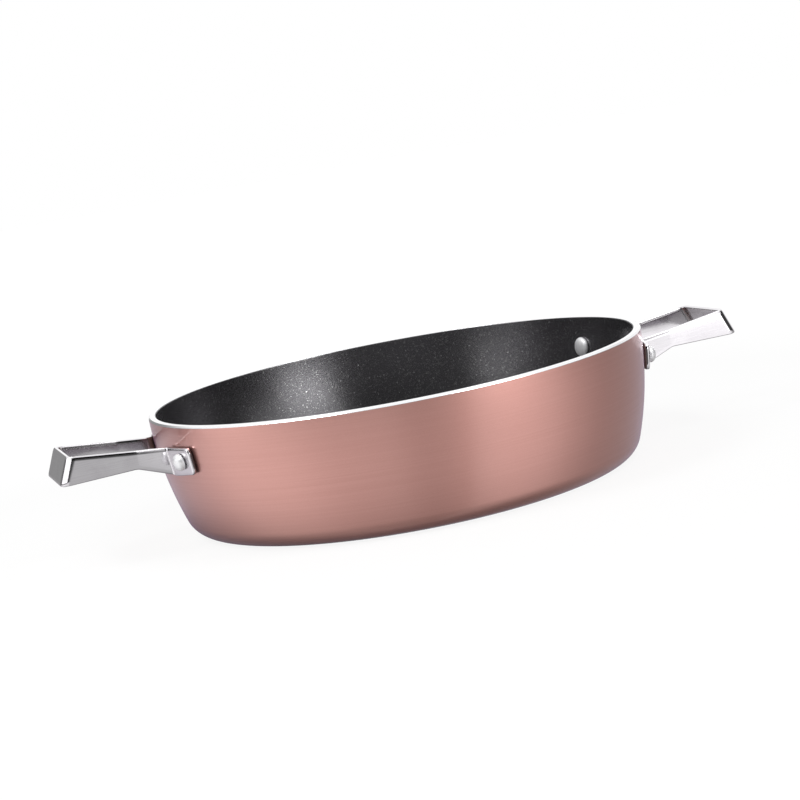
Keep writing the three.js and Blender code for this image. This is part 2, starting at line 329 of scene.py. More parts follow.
def finish_piece(obj: bpy.types.Object, nodes: Sequence[str]) -> None:
    """Hands a finished piece to the frame.

    Args:
        obj: The piece.
        nodes: The CAD nodes that it stands for.
    """
    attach(obj, BODY)
    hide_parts(*nodes)
    LOG.info("%s: %d faces, for %s", obj.name, len(obj.data.polygons), ", ".join(nodes))


def fillet(
    before: Vector, corner: Vector, after: Vector, radius: float, hold: float, steps: int
) -> list[Station]:
    """Rounds a corner of a line, in a plane or in space.

    Args:
        before: Point before the corner.
        corner: The corner.
        after: Point after it.
        radius: Radius of the rounding.
        hold: Distance from the rounding to the points that hold the flats beside it.
        steps: Steps of the rounding.

    Returns:
        Points from one flat to the other, each with the line's direction there.
    """
    arriving = (corner - before).normalized()
    leaving = (after - corner).normalized()
    turn = arriving.angle(leaving)
    reach = radius * math.tan(turn / 2)
    start = corner - arriving * reach
    inwards = (leaving - arriving * arriving.dot(leaving)).normalized()
    centre = start + inwards * radius
    stations = [(start - arriving * hold, arriving)]
    for i in range(steps + 1):
        sweep = turn * i / steps
        spoke = arriving * math.sin(sweep) - inwards * math.cos(sweep)
        along = arriving * math.cos(sweep) + inwards * math.sin(sweep)
        stations.append((centre + spoke * radius, along))
    return [*stations, (corner + leaving * (reach + hold), leaving)]


def rounded_corner(
    before: Sequence[float], corner: Sequence[float], after: Sequence[float], radius: float
) -> Profile:
    """Rounds one corner of a half section.

    Args:
        before: Point before the corner.
        corner: The corner.
        after: Point after it.
        radius: Radius of the rounding.

    Returns:
        The points of the rounding, with one at each end to hold the flats beside it.
    """
    ends = Vector(before), Vector(corner), Vector(after)
    stations = fillet(*ends, radius, radius * CORNER_HOLD, CORNER_STEPS)
    return [(point.x, point.y) for point, _ in stations]


# Shared trees


def turned_tree() -> Tree:
    """Builds the tree that turns a half section about the Z axis.

    The section comes in as a line of points in the XZ plane, starts and ends on the axis or closes on itself,
    and is laid round the axis as a grid whose seam and poles are merged.

    Returns:
        The Geometry Nodes tree.
    """
    graph = Group("turned_about_axis", "GeometryNodeTree", TURNED_INPUTS, ("Piece", GEOMETRY))
    section, segments, merge_distance, _ = (graph.given[name] for name in TURNED_INPUTS)
    sizes = graph.node("GeometryNodeAttributeDomainSize", {"Geometry": section}).outputs
    count = sizes["Point Count"]
    columns = graph.math("ADD", segments, 1.0)
    grid = graph.node("GeometryNodeMeshGrid", {"Vertices X": columns, "Vertices Y": count}).outputs["Mesh"]
    index = graph.node("GeometryNodeInputIndex").outputs["Index"]
    row = graph.math("MODULO", index, count)
    column = graph.math("FLOOR", graph.math("DIVIDE", index, count))
    angle = graph.math("MULTIPLY", column, graph.math("DIVIDE", 2 * math.pi, segments))
    position = graph.node("GeometryNodeInputPosition").outputs["Position"]
    wanted = {"Geometry": section, "Value": position, "Index": row}
    sample = graph.node("GeometryNodeSampleIndex", wanted, data_type="FLOAT_VECTOR", domain="POINT")
    point = graph.parts(sample.outputs["Value"])
    place = graph.combined(
        X=graph.math("MULTIPLY", point["X"], graph.math("COSINE", angle)),
        Y=graph.math("MULTIPLY", point["X"], graph.math("SINE", angle)),
        Z=point["Z"],
    )
    laid = graph.node("GeometryNodeSetPosition", {"Geometry": grid, "Position": place}).outputs["Geometry"]
    merged = graph.node("GeometryNodeMergeByDistance", {"Geometry": laid, "Distance": merge_distance})
    return graph.put_out_piece(merged.outputs["Geometry"])


def rivet_tree(turned: Tree) -> Tree:
    """Builds the tree that sets a turned rivet at both feet of both handles.

    Args:
        turned: The tree that turns the rivet's own half section.

    Returns:
        The Geometry Nodes tree.
    """
    places = {"Count": INTEGER, "Wall Radius": FLOAT, "Height": FLOAT, "Wall Lean": FLOAT, "Angle": FLOAT}
    graph = Group("rivets_on_wall", "GeometryNodeTree", {**TURNED_INPUTS, **places}, ("Piece", GEOMETRY))
    given = graph.given
    one = graph.node("GeometryNodeGroup", {name: given[name] for name in TURNED_INPUTS}, node_tree=turned)
    index = graph.node("GeometryNodeInputIndex").outputs["Index"]
    handle = graph.math("FLOOR", graph.math("DIVIDE", index, 2.0))
    foot = graph.math("SUBTRACT", 1.0, graph.math("MULTIPLY", graph.math("MODULO", index, 2.0), 2.0))
    turn = graph.math("MULTIPLY", handle, math.pi)
    angle = graph.math("ADD", turn, graph.math("MULTIPLY", foot, given["Angle"]))
    across = graph.combined(X=graph.math("COSINE", angle), Y=graph.math("SINE", angle))
    out = graph.scaled(across, graph.math("COSINE", given["Wall Lean"]))
    droop = graph.combined(Z=graph.math("MULTIPLY", graph.math("SINE", given["Wall Lean"]), -1.0))
    axis = graph.vector("ADD", out, droop)
    place = graph.vector("ADD", graph.scaled(across, given["Wall Radius"]), graph.combined(Z=given["Height"]))
    points = graph.node("GeometryNodePoints", {"Count": given["Count"], "Position": place}).outputs["Points"]
    facing = graph.node("FunctionNodeAlignRotationToVector", {"Vector": axis}, axis="Z").outputs["Rotation"]
    wanted = {"Points": points, "Instance": one.outputs["Piece"], "Rotation": facing}
    return graph.put_out_piece(graph.node("GeometryNodeInstanceOnPoints", wanted).outputs["Instances"])


def grain_group() -> Tree:
    """Builds the shader group of the fine lines that turning or brushing leaves.

    The lines run level, round the axis: across them the pattern follows the height, less the distance from
    the axis times the input Radial, so it stays even from a wall over a corner to a base.

    Returns:
        The shader node group.
    """
    inputs = {"Vector": VECTOR, "Across": FLOAT, "Along": FLOAT, "Radial": FLOAT}
    graph = Group("machining_grain", "ShaderNodeTree", inputs, ("Grain", FLOAT))
    given = graph.given
    point = graph.parts(given["Vector"])
    squares = graph.math("ADD", graph.math("POWER", point["X"], 2.0), graph.math("POWER", point["Y"], 2.0))
    inset = graph.math("MULTIPLY", graph.math("SQRT", squares), given["Radial"])
    stretched = graph.combined(
        X=graph.math("MULTIPLY", point["X"], given["Along"]),
        Y=graph.math("MULTIPLY", point["Y"], given["Along"]),
        Z=graph.math("MULTIPLY", graph.math("SUBTRACT", point["Z"], inset), given["Across"]),
    )
    return graph.put_out(graph.noise(stretched, 1.0, Detail=3.0, Roughness=0.65))


def smudge_group() -> Tree:
    """Builds the shader group of the broad uneven patches that handling leaves.

    Returns:
        The shader node group.
    """
    inputs = {"Vector": VECTOR, "Scale": FLOAT}
    graph = Group("handling_smudges", "ShaderNodeTree", inputs, ("Smudge", FLOAT))
    return graph.put_out(graph.noise(graph.given["Vector"], graph.given["Scale"], Detail=2.0, Distortion=0.6))


@dataclass(frozen=True)
class Workshop:
    """Trees and groups that several pieces and finishes share."""

    turned: Tree
    rivets: Tree
    grain: Tree
    smudge: Tree

    @classmethod
    def open(cls) -> Workshop:
        """Builds the shared trees once."""
        turned = turned_tree()
        return cls(turned, rivet_tree(turned), grain_group(), smudge_group())


# Finishes


class MaterialGraph(Graph):
    """Node graph of one material, with its Principled shader and the shared effects at hand."""

    def __init__(self, name: str, shop: Workshop) -> None:
        """Starts a material of that name.

        Args:
            name: Name of the material.
            shop: The shared groups.
        """
        self.material = bpy.data.materials.new(name)
        self.material.use_nodes = True
        super().__init__(self.material.node_tree)
        self.shop = shop
        self.shader = self.tree.nodes["Principled BSDF"]
        self.place = self.node("ShaderNodeTexCoord").outputs["Object"]

    def shade(self, **inputs: object) -> None:
        """Sets or links the shader's own sockets, with underscores for spaces in their names."""
        for name, value in inputs.items():
            self.feed(self.shader.inputs[name.replace("_", " ")], value)

    def grain(self, across: float, along: float, radial: float) -> Socket:
        """Places the group of machining lines.

        Args:
            across: Lines per metre across the grain.
            along: Changes per metre along the grain.
            radial: Share of the distance from the axis in the grain's height.

        Returns:
            A value from 0 to 1 that changes over the surface.
        """
        values = {"Vector": self.place, "Across": across, "Along": along, "Radial": radial}
        return self.node("ShaderNodeGroup", values, node_tree=self.shop.grain).outputs["Grain"]

    def smudge(self, scale: float) -> Socket:
        """Returns broad uneven patches, of that many per metre."""
        values = {"Vector": self.place, "Scale": scale}
        return self.node("ShaderNodeGroup", values, node_tree=self.shop.smudge).outputs["Smudge"]

    def marked(self, name: str) -> Socket:
        """Returns the number that a mesh keeps for each of its points."""
        return self.node("ShaderNodeAttribute", attribute_name=name).outputs["Fac"]

    def raise_by(self, height: object, relief: Relief) -> None:
        """Raises the surface by a height from 0 to 1 that changes over it."""
        values = {"Strength": relief.share, "Distance": relief.height, "Height": height}
        self.shade(Normal=self.node("ShaderNodeBump", values).outputs["Normal"])


@dataclass(frozen=True)
class Finish:
    """A finish of the pan. Each kind fills the graph of its own material."""

    name: str = ""

    def material(self, shop: Workshop) -> bpy.types.Material:
        """Makes the material.

        Args:
            shop: The shared groups.

        Returns:
            The material.
        """
        graph = MaterialGraph(self.name, shop)
        self.dress(graph)
        return graph.material

    def dress(self, graph: MaterialGraph) -> None:
        """Fills the material's graph."""
        raise NotImplementedError


@dataclass(frozen=True)
class TurnedAluminium(Finish):
    """Bare aluminium, bright from the lathe tool at the rim and the base."""

    name: str = "turned_aluminium"
    pale: Colour = (0.9, 0.9, 0.91)
    dull: Colour = (0.8, 0.8, 0.82)
    lines: float = 2600.0
    line_changes: float = 18.0
    smudges: float = 14.0
    dullness: Remap = Remap((0.3, 0.75), (0.0, 0.6))
    line_roughness: Remap = Remap((0.25, 0.8), (0.1, 0.2))
    smudge_roughness: Remap = Remap((0.3, 0.7), (0.0, 0.04))
    relief: Relief = Relief(0.2, 0.02 * MM)

    def dress(self, graph: MaterialGraph) -> None:
        """Lays fine concentric lines over bright metal.

        Args:
            graph: The material's graph.
        """
        grain = graph.grain(self.lines, self.line_changes, radial=1.0)
        smudge = graph.smudge(self.smudges)
        graph.shade(
            Metallic=1.0,
            Base_Color=graph.mixed(graph.ranged(grain, self.dullness), self.pale, self.dull),
            Roughness=graph.math(
                "ADD", graph.ranged(grain, self.line_roughness), graph.ranged(smudge, self.smudge_roughness)
            ),
        )
        graph.raise_by(grain, self.relief)


@dataclass(frozen=True)
class RoseLacquer(Finish):
    """Metallic rose lacquer over a brushed wall, under a thin clear coat with a slight violet sheen."""

    name: str = "rose_lacquer"
    light: Colour = (0.632, 0.322, 0.279)
    deep: Colour = (0.577, 0.282, 0.244)
    sheen: Colour = (0.72, 0.45, 1.0)
    lines: float = 1500.0
    line_changes: float = 7.0
    smudges: float = 9.0
    flake_size: float = 0.35 * MM
    flake_share: float = 0.55
    depth: Remap = Remap((0.32, 0.68))
    line_roughness: Remap = Remap((0.25, 0.75), (0.36, 0.4))
    smudge_roughness: Remap = Remap((0.3, 0.7), (-0.01, 0.02))
    relief: Relief = Relief(0.06, 0.02 * MM)

    def dress(self, graph: MaterialGraph) -> None:
        """Mottles the lacquer with the wall's grain and its own metal flakes, and coats it.

        Args:
            graph: The material's graph.
        """
        graph.shade(Metallic=0.92, Coat_Weight=0.85, Coat_Roughness=0.1, Coat_IOR=1.5)
        graph.shade(Sheen_Weight=0.17, Sheen_Roughness=0.3, Sheen_Tint=self.sheen)
        grain = graph.grain(self.lines, self.line_changes, radial=1.0)
        smudge = graph.smudge(self.smudges)
        flakes = graph.noise(graph.place, 1.0 / self.flake_size, Detail=1.0)
        mottle = graph.blended(self.flake_share, grain, flakes)
        rough = graph.math(
            "ADD", graph.ranged(grain, self.line_roughness), graph.ranged(smudge, self.smudge_roughness)
        )
        graph.shade(
            Base_Color=graph.mixed(graph.ranged(mottle, self.depth), self.light, self.deep), Roughness=rough
        )
        graph.raise_by(mottle, self.relief)


@dataclass(frozen=True)
class FleckSize:
    """One size of the flecks in the non-stick coat.

    A cell is the room of one fleck, share is the part of the cells that hold one, radius is a share of the
    cell, and shades are the dimmest and the brightest of the flecks.
    """

    cell: float
    share: float
    radius: float
    shades: Span


@dataclass(frozen=True)
class NonstickCoat(Finish):
    """Satin black non-stick coat, faintly pebbled and strewn with pale mineral flecks of three sizes.

    The coat is duller on the pan's floor than on its wall, and its flecks are fainter: gloss and
    fleck_strength go from the first to the second level between the two heights of wall_from.
    """

    name: str = "nonstick_coat"
    black: Colour = (0.0128, 0.0122, 0.0134)
    tint: Colour = (0.97, 0.95, 1.0)
    shine: float = 2.55
    gloss: Span = (0.06, 0.5)
    fleck_strength: Span = (0.25, 1.0)
    wall_from: Span = (6 * MM, 24 * MM)
    fleck_metal: float = 0.93
    fleck_roughness: float = -0.04
    fleck_edge: Remap = Remap((0.75, 1.0), (1.0, 0.0))
    least_fleck: float = 0.35
    sizes: tuple[FleckSize, ...] = (
        FleckSize(cell=0.75 * MM, share=0.45, radius=0.5, shades=(0.19, 0.37)),
        FleckSize(cell=1.8 * MM, share=0.4, radius=0.22, shades=(0.25, 0.58)),
        FleckSize(cell=5 * MM, share=0.35, radius=0.08, shades=(0.38, 0.75)),
    )
    smudges: float = 20.0
    roughness: Remap = Remap((0.3, 0.7), (0.24, 0.28))
    pebble: float = 0.8 * MM
    relief: Relief = Relief(0.4, 0.1 * MM)

    def flecks(self, graph: MaterialGraph, size: FleckSize) -> tuple[Socket, Socket]:
        """Scatters flecks of one size, one in some of the cells of an even scatter.

        Args:
            graph: The material's graph.
            size: The size of the flecks.

        Returns:
            A mask of 1 on a fleck and 0 off it, and the fleck's own brightness.
        """
        cells = graph.node("ShaderNodeTexVoronoi", {"Vector": graph.place, "Scale": 1.0 / size.cell}).outputs
        chance = graph.node("ShaderNodeSeparateColor", {"Color": cells["Color"]}).outputs
        held = graph.math("LESS_THAN", chance["Red"], size.share)
        reach = graph.math("MULTIPLY", graph.math("ADD", chance["Green"], self.least_fleck), size.radius)
        spot = graph.ranged(graph.math("DIVIDE", cells["Distance"], reach), self.fleck_edge)
        shade = graph.ranged(chance["Blue"], Remap((0.0, 1.0), size.shades))
        return graph.math("MULTIPLY", spot, held), shade

    def dress(self, graph: MaterialGraph) -> None:
        """Strews the flecks over the black coat.

        Args:
            graph: The material's graph.
        """
        height = graph.parts(graph.place)["Z"]
        strength = graph.ranged(height, Remap(self.wall_from, self.fleck_strength))
        colour: object = self.black
        metal: object = 0.0
        for size in self.sizes:
            spot, shade = self.flecks(graph, size)
            mask = graph.math("MULTIPLY", spot, strength)
            tone = graph.node("ShaderNodeCombineColor", {"Red": shade, "Green": shade, "Blue": shade})
            colour = graph.mixed(mask, colour, tone.outputs[0])
            metal = graph.math("MAXIMUM", metal, mask)
        smudge = graph.ranged(graph.smudge(self.smudges), self.roughness)
        graph.shade(IOR=self.shine, Specular_Tint=self.tint)
        graph.shade(
            Base_Color=colour,
            Metallic=graph.math("MULTIPLY", metal, self.fleck_metal),
            Roughness=graph.math("ADD", smudge, graph.math("MULTIPLY", metal, self.fleck_roughness)),
            Specular_IOR_Level=graph.ranged(height, Remap(self.wall_from, self.gloss)),
        )
        graph.raise_by(graph.noise(graph.place, 1.0 / self.pebble, Detail=2.0), self.relief)


@dataclass(frozen=True)
class PolishedSteel(Finish):
    """Polished stainless strip with the faint lengthwise lines of the polishing belt.

    It is rougher at the raw ends of its feet, on the faces hidden against the wall and where it is squeezed in
    the grip bend, and it is painted near black there as painted shade. The upper part of the faces inside the
    loop is painted a darker grey, also as painted shade.
    """

    name: str = "polished_steel"
    pale: Colour = (0.81, 0.79, 0.815)
    dull: Colour = (0.71, 0.685, 0.715)
    # Near black painted as shade at the raw foot ends, on the faces against the wall and inside the grip bend.
    cut: Colour = (0.16, 0.155, 0.16)
    # Darker grey painted as shade on the upper part of the faces inside the loop.
    unbuffed: Colour = (0.5, 0.48, 0.5)
    lines: float = 2200.0
    line_changes: float = 60.0
    smudges: float = 90.0
    dullness: Remap = Remap((0.35, 0.65))
    roughness: Remap = Remap((0.3, 0.7), (0.06, 0.11))
    unbuffed_roughness: float = 0.06
    cut_roughness: float = 0.35
    relief: Relief = Relief(0.1, 0.04 * MM)

    def dress(self, graph: MaterialGraph) -> None:
        """Lays faint lines and patches over the polish, roughens it where the strip is marked, and paints
        shade there: near black at the raw foot ends, against the wall and in the grip bend, and a darker grey
        on the upper inside faces.

        Args:
            graph: The material's graph.
        """
        grain = graph.grain(self.lines, self.line_changes, radial=0.0)
        patches = graph.mean(grain, graph.smudge(self.smudges))
        # Rougher raw ends and hidden faces, which are also painted near black as painted shade.
        cut = graph.marked(DULL_PAINTED_SHADE)
        inner_shade = graph.marked(PAINTED_INNER_SHADE)
        shade = graph.mixed(graph.ranged(patches, self.dullness), self.pale, self.dull)
        # Painted shade: the upper inside faces of the loop turn a darker grey.
        shade = graph.mixed(inner_shade, shade, self.unbuffed)
        rough = graph.ranged(patches, self.roughness)
        for share, more in ((inner_shade, self.unbuffed_roughness), (cut, self.cut_roughness)):
            rough = graph.math("ADD", rough, graph.math("MULTIPLY", share, more))
        graph.shade(Metallic=1.0, Base_Color=graph.mixed(cut, shade, self.cut), Roughness=rough)
        graph.raise_by(patches, self.relief)


@dataclass(frozen=True)
class RivetMetal(Finish):
    """Satin aluminium of the rivets, slightly pitted by the set that closed them."""

    name: str = "rivet_aluminium"
    pale: Colour = (0.92, 0.92, 0.93)
    dull: Colour = (0.74, 0.74, 0.76)
    pit: float = 0.5 * MM
    smudges: float = 160.0
    dullness: Remap = Remap((0.35, 0.7))
    roughness: Remap = Remap((0.3, 0.7), (0.34, 0.46))
    relief: Relief = Relief(0.5, 0.1 * MM)

    def dress(self, graph: MaterialGraph) -> None:
        """Pits and smudges the satin metal.

        Args:
            graph: The material's graph.
        """
        pits = graph.noise(graph.place, 1.0 / self.pit, Detail=3.0)
        shade = graph.mean(pits, graph.smudge(self.smudges))
        graph.shade(
            Metallic=0.5,
            Base_Color=graph.mixed(graph.ranged(shade, self.dullness), self.pale, self.dull),
            Roughness=graph.ranged(shade, self.roughness),
        )
        graph.raise_by(pits, self.relief)


# Pan


@dataclass(frozen=True)
class Skin:
    """Half section of one skin of the pan: a barrel arc down from the rim, then a corner arc into the base.

    Lean is the skin's angle from the upright, from the rim's own to a right angle at the base.
    """

    rim_radius: float
    rim_height: float
    base_height: float
    barrel_radius: float
    corner_radius: float
    rim_lean: float

    @property
    def barrel_centre(self) -> tuple[float, float]:
        """Centre of the barrel arc."""
        return (
            self.rim_radius - self.barrel_radius * math.cos(self.rim_lean),
            self.rim_height + self.barrel_radius * math.sin(self.rim_lean),
        )

    @property
    def corner_lean(self) -> float:
        """Lean at which the corner arc takes over."""
        depth = self.rim_height - self.base_height
        rise = depth - self.corner_radius + self.barrel_radius * math.sin(self.rim_lean)
        return math.asin(rise / (self.barrel_radius - self.corner_radius))

    @property
    def corner_centre(self) -> tuple[float, float]:
        """Centre of the corner arc, above the edge of the flat base."""
        reach = (self.barrel_radius - self.corner_radius) * math.cos(self.corner_lean)
        return self.barrel_centre[0] + reach, self.base_height + self.corner_radius

    def at(self, lean: float) -> tuple[float, float]:
        """Finds a point of the skin.

        Args:
            lean: The skin's lean there.

        Returns:
            The point's radius and height.
        """
        on_barrel = lean <= self.corner_lean
        centre = self.barrel_centre if on_barrel else self.corner_centre
        radius = self.barrel_radius if on_barrel else self.corner_radius
        return centre[0] + radius * math.cos(lean), centre[1] - radius * math.sin(lean)

    def lean_at(self, height: float) -> float:
        """Returns the lean of the barrel arc at a height."""
        return math.asin((self.barrel_centre[1] - height) / self.barrel_radius)

    def down(self, from_lean: float, to_lean: float, steps: int) -> Profile:
        """Lays points down the skin.

        Args:
            from_lean: Lean at the first point, near the rim.
            to_lean: Lean at the last point, near the base.
            steps: Steps on each of the two arcs.

        Returns:
            The points.
        """
        middle = min(self.corner_lean, to_lean)
        barrel = [from_lean + (middle - from_lean) * i / steps for i in range(steps)]
        corner = [middle + (to_lean - middle) * i / steps for i in range(steps + 1)]
        return [self.at(lean) for lean in barrel + corner]


@dataclass(frozen=True)
class PanShape:
    """Sizes of the pan, measured over its coats. The overall ones come from the frame."""

    rim_radius: float
    height: float
    wall: float = 4.2 * MM
    floor: float = 4.4 * MM
    rim_lean: float = math.radians(0.7)
    barrel_radius: float = 200 * MM
    corner_radius: float = 14.3 * MM
    floor_corner_radius: float = 11 * MM
    bevel_height: float = 1.1 * MM
    bevel_width: float = 0.8 * MM
    inner_break: float = 0.4 * MM
    coat: float = 0.3 * MM
    coat_gap: float = 0.05 * MM
    lacquer_end_lean: float = math.radians(66)
    segments: int = 192
    arc_steps: int = 24

    @classmethod
    def from_frame(cls) -> PanShape:
        """Reads the rim's radius and the pan's height from the CAD body."""
        _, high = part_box("pan_body")
        return cls(rim_radius=high.x, height=high.z)

    def outer_skin(self, inset: float) -> Skin:
        """Lays the outside, or a skin that lies inside it.

        Args:
            inset: Distance of the skin from the outside.

        Returns:
            The skin.
        """
        return Skin(
            rim_radius=self.rim_radius - inset,
            rim_height=self.height,
            base_height=inset,
            barrel_radius=self.barrel_radius - inset,
            corner_radius=self.corner_radius - inset,
            rim_lean=self.rim_lean,
        )

    def inner_skin(self, outset: float) -> Skin:
        """Lays the inside, or a skin that lies behind it in the wall.

        Args:
            outset: Distance of the skin from the inside.

        Returns:
            The skin.
        """
        return Skin(
            rim_radius=self.rim_radius - self.wall + outset,
            rim_height=self.height,
            base_height=self.floor - outset,
            barrel_radius=self.barrel_radius - self.wall + outset,
            corner_radius=self.floor_corner_radius + outset,
            rim_lean=self.rim_lean,
        )

    @property
    def outside(self) -> Skin:
        """The finished outside."""
        return self.outer_skin(0.0)

    @property
    def inside(self) -> Skin:
        """The finished inside."""
        return self.inner_skin(0.0)


@dataclass
class TurnedPiece:
    """A piece of the pan that is turned about the axis."""

    shape: PanShape
    node: str = ""
    slot: str = ""
    sharp_angle: float = math.radians(35)

    def profile(self) -> Profile:
        """Returns the whole half section, which closes on itself or starts and ends on the axis."""
        raise NotImplementedError

    def build(self, shop: Workshop, finish: bpy.types.Material) -> None:
        """Turns the piece and dresses it.

        Args:
            shop: The shared trees.
            finish: The piece's material.
        """
        obj = section_object(f"{self.node}_piece", self.profile())
        sizes = {"Segments": self.shape.segments, "Merge Distance": MERGE_DISTANCE}
        plain_mesh(obj, shop.turned, {**sizes, "Finish": finish})
        face_outwards(obj.data, self.sharp_angle)
        finish_piece(obj, [self.node])


@dataclass
class PanBody(TurnedPiece):
    """Pressed aluminium body, bare at the turned rim and base and set in under its two coats between them."""

    node: str = "pan_body"
    slot: str = "body_aluminium"
    standing_ring: float = 30 * MM
    relief: float = 0.6 * MM
    grooves: int = 5
    groove_width: float = 3 * MM
    groove_depth: float = 0.7 * MM
    groove_steps: int = 4
    base_steps: int = 8
    edge_radius: float = 0.25 * MM
    bevel_foot: float = 0.12 * MM
    bevel_foot_radius: float = 0.22 * MM

    def base(self) -> Profile:
        """Lays the turned base with its concentric grooves.

        Returns:
            The points from the axis to the standing ring's inner edge.
        """
        ring = self.shape.outside.corner_centre[0] - self.standing_ring
        pitch = ring / (self.grooves + 1)
        profile: Profile = [(0.0, self.relief)]
        for i in range(1, self.grooves + 1):
            for j in range(-self.groove_steps, self.groove_steps + 1):
                share = j / self.groove_steps
                rise = self.groove_depth * (1 + math.cos(math.pi * share)) / 2
                profile.append((i * pitch + self.groove_width / 2 * share, self.relief + rise))
        inner, top, lip = (0.0, self.relief), (ring - self.relief, self.relief), (ring, 0.0)
        beyond = (ring + self.standing_ring, 0.0)
        step = rounded_corner(inner, top, lip, self.edge_radius)
        return profile + step + rounded_corner(top, lip, beyond, self.edge_radius)

    def profile(self) -> Profile:
        """Lays the whole half section.

        Returns:
            The points from the axis below to the axis inside.
        """
        shape = self.shape
        outside = shape.outside
        core_out = shape.outer_skin(shape.coat + shape.coat_gap)
        core_in = shape.inner_skin(shape.coat + shape.coat_gap)
        bevel_lean = outside.lean_at(shape.height - shape.bevel_height)
        break_lean = core_in.lean_at(shape.height - shape.inner_break)
        base_turn = (shape.lacquer_end_lean - RIGHT_ANGLE) / self.base_steps
        bevel_low = outside.at(bevel_lean)
        bevel_foot = outside.at(outside.lean_at(shape.height - shape.bevel_height + self.bevel_foot))
        bevel_high = (shape.rim_radius - shape.bevel_width, shape.height)
        inner_edge = (core_in.rim_radius, shape.height)
        return [
            *self.base(),
            *[outside.at(RIGHT_ANGLE + base_turn * i) for i in range(self.base_steps + 1)],
            *reversed(core_out.down(bevel_lean, shape.lacquer_end_lean, shape.arc_steps)),
            bevel_low,
            *rounded_corner(bevel_low, bevel_foot, bevel_high, self.bevel_foot_radius)[1:],
            *rounded_corner(bevel_foot, bevel_high, inner_edge, self.edge_radius),
            *rounded_corner(bevel_high, inner_edge, core_in.at(break_lean), self.edge_radius / 2),
            *core_in.down(break_lean, RIGHT_ANGLE, shape.arc_steps),
            (0.0, core_in.base_height),
        ]


@dataclass
class OuterLacquer(TurnedPiece):
    """Lacquer coat on the outside wall, from the rim's bevel to the turned base."""

    node: str = "outer_lacquer"
    slot: str = "rose_lacquer"

    def profile(self) -> Profile:
        """Lays the closed half section of the coat.

        Returns:
            The points up the coat's face and down its back.
        """
        shape = self.shape
        back = shape.outer_skin(shape.coat)
        top_lean = shape.outside.lean_at(shape.height - shape.bevel_height - shape.coat_gap)
        end_lean = shape.lacquer_end_lean - shape.coat_gap / shape.corner_radius
        face = shape.outside.down(top_lean, end_lean, shape.arc_steps)[::-1]
        return [*face, *back.down(top_lean, end_lean, shape.arc_steps), face[0]]


@dataclass
class NonstickLining(TurnedPiece):
    """Non-stick coat over the floor and the inside wall, up to the turned rim."""

    node: str = "nonstick_lining"
    slot: str = "nonstick"
    floor_rings: int = 6

    def profile(self) -> Profile:
        """Lays the half section of the coat.

        Returns:
            The points from the axis up the coat's back and down its face to the axis.
        """
        shape = self.shape
        back = shape.inner_skin(shape.coat)
        face = shape.inside
        top_lean = face.lean_at(shape.height - shape.inner_break - shape.coat_gap)
        flat = face.corner_centre[0]
        shares = [1 - i / self.floor_rings for i in range(1, self.floor_rings + 1)]
        return [
            (0.0, back.base_height),
            *back.down(top_lean, RIGHT_ANGLE, shape.arc_steps)[::-1],
            *face.down(top_lean, RIGHT_ANGLE, shape.arc_steps),
            *[(flat * share, face.base_height) for share in shares],
        ]


# Handles and rivets


@dataclass(frozen=True)
class FootPlaces:
    """Where the handles' feet and rivets sit on the wall."""

    shape: PanShape
    rivet_drop: float = 18.3 * MM
    rivet_spacing: float = 82.5 * MM
    seat_gap: float = 0.3 * MM

    @property
    def height(self) -> float:
        """Height of the rivets."""
        return self.shape.height - self.rivet_drop

    @property
    def lean(self) -> float:
        """Lean of the wall at the rivets."""
        return self.shape.outside.lean_at(self.height)

    @property
    def radius(self) -> float:
        """Radius of the finished outside at the rivets."""
        return self.shape.outside.at(self.lean)[0]

    @property
    def angle(self) -> float:
        """Angle of a rivet from the handle's middle plane."""
        return math.asin(self.rivet_spacing / 2 / self.radius)

    def on_wall(self, angle: float, height: float, off: float) -> Vector:
        """Finds the point that stands off the finished outside by a distance, along the wall's normal.

        Args:
            angle: Angle round the pan from +X.
            height: Height of the wall point.
            off: Distance from the wall.

        Returns:
            The point.
        """
        lean = self.shape.outside.lean_at(height)
        radius = self.shape.outside.at(lean)[0]
        out = radius + off * math.cos(lean)
        return Vector((out * math.cos(angle), out * math.sin(angle), height - off * math.sin(lean)))


